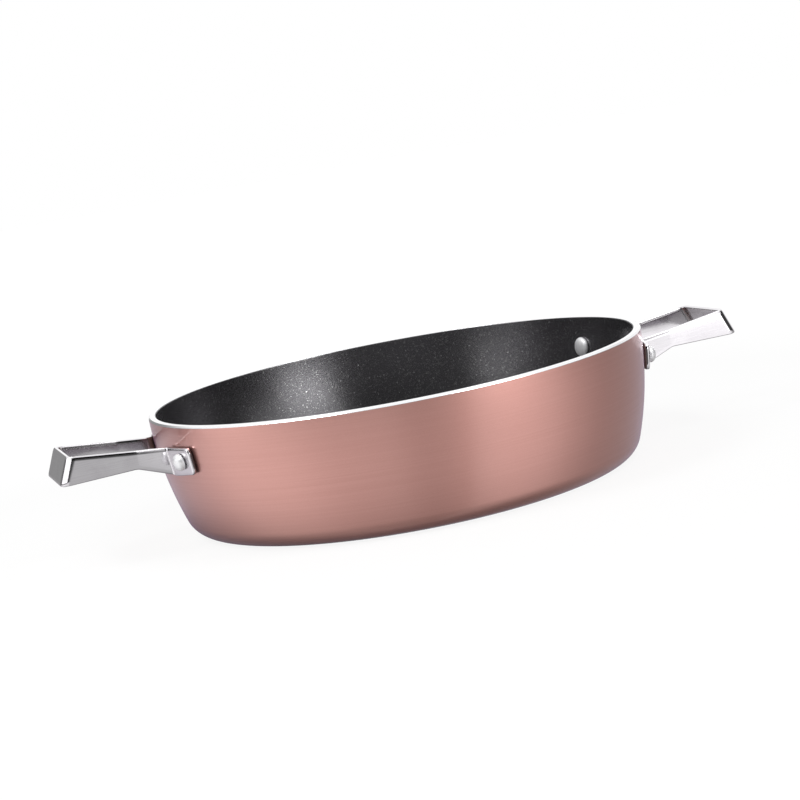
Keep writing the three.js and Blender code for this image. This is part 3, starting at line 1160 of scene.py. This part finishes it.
@dataclass
class LoopHandle:
    """One steel strip bent into a loop: a foot on the wall, a tight bend, a waisted arm and a tilted grip.

    The strip is laid between its upper and its lower edge. Each edge is a line of stations, a point in the
    middle of the strip's thickness and the direction of the edge there.
    """

    places: FootPlaces
    side: Side
    strip: float = 3 * MM
    edge_radius: float = 0.7 * MM
    fall: float = 0.25 * MM
    fall_width: float = 2 * MM
    heel_bend_radius: float = 1 * MM
    grip_bend_radius: float = 2.2 * MM
    foot_height: float = 14.5 * MM
    heel_top_drop: float = 0.55 * MM
    heel_bottom_drop: float = 1.85 * MM
    heel_lead: float = 0.5 * MM
    foot_overhang: float = 9.4 * MM
    foot_corner_radius: float = 2.6 * MM
    foot_end_radius: float = 1.2 * MM
    most_shrink: float = 0.96
    arm_spread: float = 58.5 * MM
    grip_width: float = 55 * MM
    grip_reach: float = 52.7 * MM
    grip_height: float = 16.4 * MM
    grip_tilt: float = math.radians(22.5)
    grip_rise: float = 13 * MM
    waist_reach: float = 17 * MM
    waist_height: float = 10.1 * MM
    waist_ease: float = 1.4 * MM
    hold: float = 0.3 * MM
    bend_steps: int = 12
    foot_steps: int = 10
    foot_end_steps: int = 10
    edge_steps: int = 6
    fall_steps: int = 5
    sheared_stations: int = 2
    loop_side: Span = (0.3, 0.7)
    # Share of the extra roughness and the near-black painted shade inside the grip bend.
    pinched: float = 0.7
    sharp_angle: float = math.radians(50)

    @property
    def rim_radius(self) -> float:
        """Radius of the pan's rim, from which the handle's reach counts."""
        return self.places.shape.rim_radius

    @property
    def foot_end_angle(self) -> float:
        """Angle round the pan of the foot's free end."""
        return self.places.angle + self.foot_overhang / self.places.radius

    @property
    def off_wall(self) -> float:
        """Distance of a foot's mid-thickness from the wall."""
        return self.places.seat_gap + self.strip / 2

    def bend(self, before: Vector, corner: Vector, after: Vector, inner_radius: float) -> list[Station]:
        """Returns the stations of a bend of that radius inside."""
        return fillet(before, corner, after, inner_radius + self.strip / 2, self.hold, self.bend_steps)

    def eased(self, before: Vector, corner: Vector, after: Vector) -> list[Station]:
        """Lays the soft turn of an edge at the waist.

        Args:
            before: Point before the waist.
            corner: The waist.
            after: Point after it.

        Returns:
            The stations of the turn.
        """
        start = corner + (before - corner).normalized() * self.waist_ease
        end = corner + (after - corner).normalized() * self.waist_ease
        stations = []
        for i in range(self.bend_steps + 1):
            share = i / self.bend_steps
            first = start.lerp(corner, share)
            second = corner.lerp(end, share)
            stations.append((first.lerp(second, share), (second - first).normalized()))
        return stations

    def foot_angles(self, heel_angle: float) -> list[float]:
        """Spaces the stations of a foot, close together at its rounded end.

        Args:
            heel_angle: Angle of the heel round the pan.

        Returns:
            The angle of each station.
        """
        radius = self.places.radius
        rounded_to = self.foot_end_angle - self.foot_corner_radius / radius
        bend_start = heel_angle + (self.heel_bend_radius + self.strip / 2 + self.heel_lead) / radius
        steps = self.foot_end_steps
        shares = [1 - math.cos(RIGHT_ANGLE * i / steps) for i in range(steps)]
        tip = [self.foot_end_angle + (rounded_to - self.foot_end_angle) * share for share in shares]
        pace = (bend_start - rounded_to) / self.foot_steps
        return tip + [rounded_to + pace * i for i in range(self.foot_steps + 1)]

    @staticmethod
    def rounding(from_end: float, radius: float) -> float:
        """Returns how far a rounded end stands back from its side, at a distance from the end."""
        inside = max(0.0, radius - from_end)
        return radius - math.sqrt(max(0.0, radius**2 - inside**2))

    def foot(self, end: float, heel: float, heel_angle: float, sign: float) -> list[Station]:
        """Lays one edge of a foot on the wall.

        Args:
            end: Height of the edge at the foot's end.
            heel: Height at the heel.
            heel_angle: Angle of the heel round the pan.
            sign: 1 where the foot's rounded corners raise the edge, -1 where they lower it.

        Returns:
            The stations of the edge.
        """
        stations = []
        for angle in self.foot_angles(heel_angle):
            share = (self.foot_end_angle - angle) / (self.foot_end_angle - heel_angle)
            from_end = (self.foot_end_angle - angle) * self.places.radius
            height = end + (heel - end) * share + sign * self.rounding(from_end, self.foot_corner_radius)
            along = Vector((math.sin(angle), -math.cos(angle), 0.0))
            stations.append((self.places.on_wall(angle, height, self.off_wall), along))
        return stations

    def edge(self, end: float, heel: float, waist: float, grip: Span, sign: float) -> list[Station]:
        """Lays one edge of the strip from a foot's end to the grip's middle.

        Args:
            end: Height of the edge at the foot's end.
            heel: Height at the heel, where the strip leaves the wall.
            waist: Height at the waist.
            grip: Reach and height at the grip.
            sign: 1 where the foot's rounded corners raise the edge, -1 where they lower it.

        Returns:
            The stations of the edge.
        """
        reach, grip_height = grip
        arm_start = Vector((self.rim_radius, (self.arm_spread - self.strip) / 2))
        arm_end = Vector((reach, (self.grip_width - self.strip) / 2))
        heel_radius = self.places.on_wall(0.0, heel, self.off_wall).x
        root = self.crossing(Vector((0.0, arm_start.y)), arm_end, heel_radius)
        waist_plan = arm_start.lerp(arm_end, self.waist_reach / (reach - self.rim_radius))
        heel_point = Vector((*root, heel))
        waist_point = Vector((*waist_plan, waist))
        corner = Vector((*arm_end, grip_height))
        middle = Vector((reach, 0.0, grip_height))
        foot = self.foot(end, heel, math.atan2(root.y, root.x), sign)
        return [
            *foot,
            *self.bend(foot[-1][0], heel_point, waist_point, self.heel_bend_radius),
            *self.eased(heel_point, waist_point, corner),
            *self.bend(waist_point, corner, middle, self.grip_bend_radius),
            (middle, Vector((0.0, -1.0, 0.0))),
        ]

    @staticmethod
    def crossing(start: Vector, end: Vector, radius: float) -> Vector:
        """Finds where a line in plan crosses a circle about the axis.

        Args:
            start: Point of the line inside the circle.
            end: Point of the line towards the crossing.
            radius: Radius of the circle.

        Returns:
            The crossing beyond the start.
        """
        along = end - start
        a = along.length_squared
        b = start.dot(along)
        c = start.length_squared - radius * radius
        return start + along * ((-b + math.sqrt(b * b - a * c)) / a)

    def corner_outline(self, radius: float, shrink: float) -> Profile:
        """Lays one corner of the strip's section, from a broad face to the narrow edge.

        The polished face falls away softly towards the edge, and the corner itself is a small arc.

        Args:
            radius: Radius of the arc.
            shrink: Distance by which the section is smaller all round.

        Returns:
            Points as distances from the strip's mid-thickness and from its edge.
        """
        tilt = math.atan2(2 * self.fall, self.fall_width)
        face = self.strip / 2 - shrink
        start = radius * (1 - math.sin(tilt))
        outline = []
        for i in range(self.fall_steps):
            share = i / self.fall_steps
            outline.append((face - self.fall * share**2, start + self.fall_width * (1 - share)))
        round_off = radius - shrink
        centre = self.strip / 2 - self.fall - radius * math.cos(tilt)
        for i in range(self.edge_steps + 1):
            turn = tilt + (RIGHT_ANGLE - tilt) * i / self.edge_steps
            outline.append((centre + round_off * math.cos(turn), radius - round_off * math.sin(turn)))
        return [*outline, (max(centre - self.hold, centre / 2), shrink)]

    def section(self, top: Station, bottom: Station, radius: float, shrink: float) -> list[Vector]:
        """Lays the strip's rounded section between its two edges.

        Args:
            top: Station of the upper edge.
            bottom: Station of the lower edge.
            radius: Radius of the section's corners.
            shrink: Distance by which the section is smaller all round.

        Returns:
            A ring of points.
        """
        upwards = (top[0] - bottom[0]).normalized()
        outwards = upwards.cross(top[1] + bottom[1]).normalized()
        outline = self.corner_outline(radius, shrink)
        ring: list[Vector] = []
        for edge, out, up in ((top, 1, 1), (top, -1, 1), (bottom, -1, -1), (bottom, 1, -1)):
            corner = [
                edge[0] + outwards * (out * across) - upwards * (up * inset) for across, inset in outline
            ]
            ring.extend(corner if out == up else corner[::-1])
        return ring

    def rings(self) -> list[list[Vector]]:
        """Lays the strip.

        Returns:
            Its sections from the end of one foot to the end of the other.
        """
        base = self.places.height
        foot_top = base + self.foot_height / 2
        foot_bottom = base - self.foot_height / 2
        heel_top = foot_top - self.heel_top_drop
        heel_bottom = foot_bottom - self.heel_bottom_drop
        grip_top = base + self.grip_rise
        grip_bottom = grip_top - self.grip_height * math.cos(self.grip_tilt)
        reach_top = self.rim_radius + self.grip_reach - self.strip / 2
        reach_bottom = reach_top + self.grip_height * math.sin(self.grip_tilt)
        waist_top = heel_top + (grip_top - heel_top) * self.waist_reach / self.grip_reach
        waist_bottom = waist_top - self.waist_height
        top = self.edge(foot_top, heel_top, waist_top, (reach_top, grip_top), -1)
        bottom = self.edge(foot_bottom, heel_bottom, waist_bottom, (reach_bottom, grip_bottom), 1)
        rings = []
        for i, (upper, lower) in enumerate(zip(self.mirrored(top), self.mirrored(bottom))):
            from_end = min(i, 2 * len(top) - 2 - i)
            rings.append(self.section(upper, lower, *self.foot_end_rounding(from_end)))
        return rings

    def foot_end_rounding(self, number: int) -> tuple[float, float]:
        """Rounds the section off towards a foot's end.

        Args:
            number: Number of the station, from the foot's end.

        Returns:
            The corner radius and the shrink of the section there.
        """
        if number >= self.foot_end_steps:
            return self.edge_radius, 0.0
        share = math.cos(RIGHT_ANGLE * number / self.foot_end_steps)
        radius = self.edge_radius + (self.foot_end_radius - self.edge_radius) * share
        shrink = self.rounding(self.foot_corner_radius * (1 - share), self.foot_end_radius)
        return radius, min(shrink, self.most_shrink * radius)

    @staticmethod
    def mirrored(half: list[Station]) -> list[Station]:
        """Adds the mirrored half of an edge that ends on the XZ plane.

        Args:
            half: The stations of one half.

        Returns:
            The stations of both halves.
        """
        other = []
        for point, along in half[-2::-1]:
            other.append((Vector((point.x, -point.y, point.z)), Vector((-along.x, along.y, -along.z))))
        return half + other

    def dullness(self, number: int, place: float) -> float:
        """Tells how far the strip is rough and painted with near-black shade at a point: at a foot's raw end,
        where it faces the wall, or where it is squeezed inside the grip bend.

        Args:
            number: Number of the station, from a foot's end.
            place: Place in the section, of which the second and third quarters face into the loop.

        Returns:
            A share, 0 where the strip is polished.
        """
        arc = self.bend_steps + 1
        heel = self.foot_end_steps + self.foot_steps + 2
        grip = heel + arc + 1 + arc + 1
        inside = self.loop_side[0] < place < self.loop_side[1]
        if number < self.sheared_stations or (inside and number < heel + arc):
            return 1.0
        return self.pinched if inside and grip <= number < grip + arc else 0.0

    @staticmethod
    def faces(rings: int, size: int) -> list[tuple[int, ...]]:
        """Joins rings of points into a closed strip.

        Args:
            rings: Number of rings.
            size: Number of points in each.

        Returns:
            The point numbers of each face.
        """
        faces: list[tuple[int, ...]] = []
        for start in range(0, (rings - 1) * size, size):
            for i in range(size):
                a, b = start + i, start + (i + 1) % size
                faces.append((a, b, b + size, a + size))
        last = (rings - 1) * size
        return [*faces, tuple(range(size - 1, -1, -1)), tuple(range(last, last + size))]

    def build(self, finish: bpy.types.Material) -> None:
        """Lofts the strip, marks where it is rough and where shade is painted on it, and dresses it.

        Args:
            finish: The strip's material.
        """
        rings = self.rings()
        size = len(rings[0])
        turn = Matrix.Rotation(self.side.value, 3, "Z")
        node = f"handle_{self.side.word}"
        mesh = bpy.data.meshes.new(node)
        mesh.from_pydata([turn @ point for ring in rings for point in ring], [], self.faces(len(rings), size))
        mesh.materials.append(finish)
        spots = [(min(r, len(rings) - 1 - r), i) for r in range(len(rings)) for i in range(size)]
        upper_inside = range(size // 2 - self.fall_steps, size // 2)
        # Marks the raw foot ends, the faces against the wall and the inside of the grip bend: rougher, and
        # painted near black as shade.
        mark_points(mesh, DULL_PAINTED_SHADE, [self.dullness(number, i / size) for number, i in spots])
        # Marks the upper part of the faces inside the loop, where a darker grey is painted as shade.
        mark_points(mesh, PAINTED_INNER_SHADE, [float(i in upper_inside) for _, i in spots])
        obj = linked_object(f"{node}_piece", mesh)
        face_outwards(mesh, self.sharp_angle)
        finish_piece(obj, [node])


@dataclass
class Rivets:
    """The four rivets, each with a shank, a high domed head outside and a broad low one inside."""

    places: FootPlaces
    strip: float = 3 * MM
    shank_diameter: float = 5 * MM
    outer_diameter: float = 9.3 * MM
    outer_height: float = 3.8 * MM
    inner_diameter: float = 11.6 * MM
    inner_height: float = 2.9 * MM
    head_edge: float = 0.7 * MM
    edge_radius: float = 0.3 * MM
    dome_steps: int = 14
    segments: int = 48
    sharp_angle: float = math.radians(40)

    def head(self, seat: float, direction: float, diameter: float, height: float) -> Profile:
        """Lays the half section of a head from its seat to its apex.

        Args:
            seat: Height of the seat along the rivet's axis.
            direction: 1 for a head above its seat, -1 for one below.
            diameter: Diameter of the head.
            height: Height of the head.

        Returns:
            The points of the half section.
        """
        radius = diameter / 2
        dome = height - self.head_edge
        rounded = rounded_corner(
            (self.shank_diameter / 2, seat),
            (radius, seat),
            (radius, seat + direction * self.head_edge),
            self.edge_radius,
        )
        crown = []
        for i in range(self.dome_steps):
            sweep = RIGHT_ANGLE * i / self.dome_steps
            rise = self.head_edge + dome * math.sin(sweep)
            crown.append((radius * math.cos(sweep), seat + direction * rise))
        return [*rounded[:-1], *crown, (0.0, seat + direction * height)]

    def profile(self) -> Profile:
        """Lays the whole half section.

        Returns:
            The points from the inner apex to the outer one.
        """
        wall = self.places.shape.wall
        gap = self.places.seat_gap
        hollow = (self.inner_diameter / 2) ** 2 / (2 * (self.places.radius - wall))
        inner_seat = -wall - hollow - gap / 2
        outer_seat = 2 * gap + self.strip
        inner = self.head(inner_seat, -1.0, self.inner_diameter, self.inner_height)[::-1]
        outer = self.head(outer_seat, 1.0, self.outer_diameter, self.outer_height)
        shank = self.shank_diameter / 2
        return [*inner, (shank, inner_seat), (shank, outer_seat), *outer]

    def build(self, shop: Workshop, finish: bpy.types.Material) -> None:
        """Sets the rivets on the wall and dresses them.

        Args:
            shop: The shared trees.
            finish: The rivets' material.
        """
        obj = section_object("rivets_piece", self.profile())
        names = [f"rivet_{side.word}_{place}" for side in Side for place in ("back", "front")]
        plain_mesh(obj, shop.rivets, {
            "Segments": self.segments,
            "Merge Distance": MERGE_DISTANCE,
            "Count": len(names),
            "Wall Radius": self.places.radius,
            "Height": self.places.height,
            "Wall Lean": self.places.lean,
            "Angle": self.places.angle,
            "Finish": finish,
        })
        face_outwards(obj.data, self.sharp_angle)
        finish_piece(obj, names)


# Studio


@dataclass(frozen=True)
class Softbox:
    """One upright soft light, facing the pan.

    The azimuth counts from the front, towards +X, in degrees, and radiance is the brightness of its face.
    """

    name: str
    azimuth: float
    radiance: float
    distance: float = 0.9
    width: float = 0.5
    height: float = 0.6
    lift: float = 1.1

    def build(self, aim: Vector) -> None:
        """Places the light, turned to a point.

        Args:
            aim: The point.
        """
        light = bpy.data.lights.new(self.name, "AREA")
        light.shape = "RECTANGLE"
        light.size = self.width
        light.size_y = self.height
        light.energy = self.radiance * self.width * self.height * math.pi
        obj = linked_object(self.name, light)
        turn = math.radians(self.azimuth)
        obj.location = (self.distance * math.sin(turn), -self.distance * math.cos(turn), self.lift)
        obj.rotation_euler = (aim - Vector(obj.location)).to_track_quat("-Z", "Y").to_euler()
        obj.visible_camera = False


@dataclass(frozen=True)
class PhotoCamera:
    """The photograph's camera, found from the rim, the wall's outline and the handles in the picture."""

    azimuth: float = math.radians(-15.54)
    elevation: float = math.radians(8.07)
    roll: float = math.radians(-10.65)
    distance: float = 1219.6 * MM
    focal_pixels: float = 2168.07
    rim_centre_x: float = 393.55
    rim_centre_y: float = 367.64
    sensor: float = 36.0

    def build(self, rim_centre: Vector) -> None:
        """Places the camera so that the rim's centre falls on its pixel.

        Args:
            rim_centre: Centre of the rim's top.
        """
        flat = math.cos(self.elevation)
        right = Vector((math.cos(self.azimuth), math.sin(self.azimuth), 0.0))
        back = Vector((right.y * flat, -right.x * flat, math.sin(self.elevation)))
        up = back.cross(right)
        rolled_right = right * math.cos(self.roll) + up * math.sin(self.roll)
        rolled_up = up * math.cos(self.roll) - right * math.sin(self.roll)
        half = PHOTO_PIXELS / 2
        shift_x = (self.rim_centre_x - half) / self.focal_pixels * self.distance
        shift_y = (half - self.rim_centre_y) / self.focal_pixels * self.distance
        place = rim_centre + back * self.distance - rolled_right * shift_x - rolled_up * shift_y
        lens = bpy.data.cameras.new("photo_camera")
        lens.sensor_width = self.sensor
        lens.lens = self.focal_pixels * self.sensor / PHOTO_PIXELS
        camera = linked_object("photo_camera", lens)
        turn = Matrix((rolled_right, rolled_up, back)).transposed()
        camera.matrix_world = Matrix.Translation(place) @ turn.to_4x4()
        bpy.context.scene.camera = camera


@dataclass(frozen=True)
class Studio:
    """White floor, soft boxes, and the bright table, dim room and white ceiling that metal mirrors.

    Table and room hold their brightness by azimuth from the front, in degrees. A direction's height goes from
    -1 straight down to 1 straight up: over the heights of horizon the room takes over from the table, and over
    those of ceiling_from the ceiling does. Behind the pan horizon_lift and ceiling_lift bring both further
    down. The table is dimmed over the heights of steep, and near the pan by contact_shade, which goes by
    distance from contact_centre. Behind the pan, over the turns of far_from, it has a slight tint. In front
    the room fades over the heights of room_fade, up to the turns of room_full, and a card hangs above
    card_height within card_reach of card_azimuth.
    """

    floor_radius: float = 6.0
    floor_segments: int = 96
    floor_pale: float = 0.78
    floor_white_share: float = 0.85
    floor_white: Remap = Remap((0.35, 1.2), (1.03, 1.25))
    contact_centre: tuple[float, float, float] = (-0.025, 0.01, 0.0)
    contact_shade: Stops = ((0.11, 0.35), (0.13, 0.67), (0.15, 0.87), (0.18, 0.98), (0.2, 1.0))
    ambient: float = 0.55
    brightest: float = 6.0
    table: Stops = (
        (-180.0, 0.46), (-160.0, 0.52), (-140.0, 0.68), (-125.0, 0.84), (-105.0, 1.2), (-75.0, 1.2),
        (-50.0, 0.88), (-24.0, 0.9), (-14.0, 0.62), (-6.0, 0.52), (12.0, 0.55), (15.0, 0.85),
        (18.0, 1.12), (22.0, 1.25), (31.0, 1.25), (38.0, 1.1), (45.0, 1.1), (58.0, 0.95),
        (70.0, 0.61), (90.0, 0.38), (135.0, 0.42), (165.0, 0.36),
    )
    room: Stops = (
        (-175.0, 0.32), (-160.0, 0.26), (-140.0, 0.2), (-100.0, 0.14), (-86.0, 0.16), (-64.0, 0.16),
        (-50.0, 0.08), (15.4, 0.08), (15.9, 1.3), (24.0, 5.4), (40.0, 5.4), (48.0, 0.06),
        (60.0, 0.05), (100.0, 0.05), (125.0, 1.0), (150.0, 1.08), (179.0, 1.08),
    )
    room_fade: Remap = Remap((0.1, 0.25), (1.0, 0.06))
    room_full: Remap = Remap((math.radians(90), math.radians(115)))
    steep: Remap = Remap((-0.9, -0.6), (0.55, 1.0))
    horizon: Remap = Remap((-0.09, 0.03))
    horizon_lift: Remap = Remap((math.radians(125), math.radians(150)), (0.0, 0.09))
    ceiling: float = 1.1
    ceiling_from: Remap = Remap((0.48, 0.68))
    ceiling_lift: Remap = Remap((math.radians(55), math.radians(90)), (0.0, 0.18))
    card: float = 1.0
    card_azimuth: float = math.radians(42)
    card_reach: Span = (math.radians(26.2), math.radians(26.7))
    card_height: Remap = Remap((0.11, 0.18))
    far_tint: Colour = (1.0, 0.95, 1.02)
    far_from: Remap = Remap((math.radians(110), math.radians(150)), (1.0, 0.0))
    softboxes: tuple[Softbox, ...] = (
        Softbox("left_softbox", azimuth=-74.0, radiance=8.0),
        Softbox("right_softbox", azimuth=38.0, radiance=6.0),
        Softbox(
            "left_card", azimuth=-80.0, radiance=1.4, distance=0.278, width=0.13, height=0.06, lift=0.09
        ),
    )

    def build(self, aim: Vector) -> None:
        """Sets up the whole studio.

        Args:
            aim: The point that its lights are turned to.
        """
        self.floor()
        self.surroundings()
        for box in self.softboxes:
            box.build(aim)
        bpy.context.scene.view_settings.view_transform = "Standard"

    def floor(self) -> None:
        """Lays the pale floor.

        The camera sees it white, with the pan's shadow on it. Metal sees it dark close to the pan, and sees
        through it further out.
        """
        mesh = bpy.data.meshes.new("floor")
        work = bmesh.new()
        bmesh.ops.create_circle(work, cap_ends=True, radius=self.floor_radius, segments=self.floor_segments)
        work.to_mesh(mesh)
        work.free()
        material = bpy.data.materials.new("pale_floor")
        material.use_nodes = True
        graph = Graph(material.node_tree)
        graph.tree.nodes.clear()
        rays = graph.node("ShaderNodeLightPath").outputs
        pale = graph.node("ShaderNodeBsdfDiffuse", {"Color": (self.floor_pale,) * 3})
        place = graph.node("ShaderNodeTexCoord").outputs["Object"]
        strength = graph.ranged(graph.length(place), self.floor_white)
        white = graph.node("ShaderNodeEmission", {"Strength": strength})
        share = graph.math("MULTIPLY", rays["Is Camera Ray"], self.floor_white_share)
        seen = graph.node("ShaderNodeMixShader", {0: share, 1: pale.outputs[0], 2: white.outputs[0]})
        distance = graph.length(graph.vector("SUBTRACT", place, self.contact_centre))
        shade = self.ramp(graph, distance, self.contact_shade)
        through = graph.node("ShaderNodeBsdfTransparent", {"Color": shade})
        shaders = {1: seen.outputs[0], 2: through.outputs[0]}
        both = graph.node("ShaderNodeMixShader", {0: rays["Is Glossy Ray"], **shaders})
        graph.node("ShaderNodeOutputMaterial", {"Surface": both.outputs[0]})
        mesh.materials.append(material)
        linked_object("floor", mesh)

    @staticmethod
    def ramp(graph: Graph, place: object, stops: Sequence[tuple[float, float]]) -> Socket:
        """Makes a level that follows stops.

        Args:
            graph: The graph of a material or the world.
            place: The place to look up, from 0 to 1.
            stops: Place and level of each stop.

        Returns:
            The level, as a grey.
        """
        node = graph.node("ShaderNodeValToRGB", {"Fac": place})
        elements = node.color_ramp.elements
        elements.remove(elements[-1])
        for number, (at, level) in enumerate(stops):
            element = elements[0] if number == 0 else elements.new(at)
            element.position = at
            element.color = (level, level, level, 1.0)
        return node.outputs["Color"]

    def by_azimuth(self, graph: Graph, azimuth: Socket, stops: Stops) -> Socket:
        """Makes a brightness that goes by azimuth.

        Args:
            graph: The world's graph.
            azimuth: Azimuth of the direction, in radians.
            stops: Azimuth in degrees and brightness of each stop.

        Returns:
            The brightness, as a share of the brightest.
        """
        place = graph.ranged(azimuth, Remap((-math.pi, math.pi)))
        placed = [(angle / FULL_TURN + 0.5, level / self.brightest) for angle, level in stops]
        return self.ramp(graph, place, placed)

    def mirrored(self, graph: Graph) -> tuple[Socket, Socket]:
        """Lays out what metal mirrors.

        Args:
            graph: The world's graph.

        Returns:
            The tint and the brightness of a direction.
        """
        parts = graph.parts(graph.node("ShaderNodeTexCoord").outputs["Generated"])
        height = parts["Z"]
        azimuth = graph.math("ARCTAN2", parts["X"], graph.math("MULTIPLY", parts["Y"], -1.0))
        turned = graph.math("ABSOLUTE", azimuth)
        table, room = (self.by_azimuth(graph, azimuth, stops) for stops in (self.table, self.room))
        horizon_height = graph.math("ADD", height, graph.ranged(turned, self.horizon_lift))
        above = graph.ranged(horizon_height, self.horizon)
        ceiling_height = graph.math("ADD", height, graph.ranged(turned, self.ceiling_lift))
        over = graph.ranged(ceiling_height, self.ceiling_from)
        dim_table = graph.math("MULTIPLY", table, graph.ranged(height, self.steep))
        fade = graph.math(
            "MAXIMUM", graph.ranged(height, self.room_fade), graph.ranged(turned, self.room_full)
        )
        off_card = graph.math("ABSOLUTE", graph.math("SUBTRACT", azimuth, self.card_azimuth))
        card = graph.ranged(off_card, Remap(self.card_reach, (self.card / self.brightest, 0.0)))
        card = graph.math("MULTIPLY", card, graph.ranged(height, self.card_height))
        dim_room = graph.math("MAXIMUM", graph.math("MULTIPLY", room, fade), card)
        ceiling = (self.ceiling / self.brightest,) * 3
        level = graph.mixed(over, graph.mixed(above, dim_table, dim_room), ceiling)
        near = graph.math("MAXIMUM", graph.ranged(turned, self.far_from), above)
        return graph.mixed(near, self.far_tint, WHITE), graph.math("MULTIPLY", level, self.brightest)

    def surroundings(self) -> None:
        """Lights the room: white to the camera, table and room to metal, and even everywhere else."""
        world = bpy.data.worlds.new("studio")
        world.use_nodes = True
        bpy.context.scene.world = world
        graph = Graph(world.node_tree)
        graph.tree.nodes.clear()
        rays = graph.node("ShaderNodeLightPath").outputs
        tint, mirrored = self.mirrored(graph)
        shine = graph.blended(rays["Is Glossy Ray"], self.ambient, mirrored)
        seen = graph.math("MAXIMUM", rays["Is Camera Ray"], rays["Is Transmission Ray"])
        colour = graph.mixed(rays["Is Glossy Ray"], WHITE, tint)
        light = graph.node("ShaderNodeBackground", {
            "Color": colour,
            "Strength": graph.blended(seen, shine, 1.0),
        })
        graph.node("ShaderNodeOutputWorld", {"Surface": light.outputs[0]})


def main() -> None:
    """Builds the pan piece by piece on its frame, then the studio round it."""
    logging.basicConfig(level=logging.INFO, format="%(name)s %(message)s")
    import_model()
    shop = Workshop.open()
    shape = PanShape.from_frame()
    places = FootPlaces(shape)
    steel = PolishedSteel().material(shop)

    PanBody(shape).build(shop, TurnedAluminium().material(shop))
    OuterLacquer(shape).build(shop, RoseLacquer().material(shop))
    NonstickLining(shape).build(shop, NonstickCoat().material(shop))
    for side in Side:
        LoopHandle(places, side).build(steel)
    Rivets(places).build(shop, RivetMetal().material(shop))

    rim_centre = Vector((0.0, 0.0, shape.height))
    Studio().build(rim_centre)
    PhotoCamera().build(rim_centre)


if __name__ == "__main__":
    main()
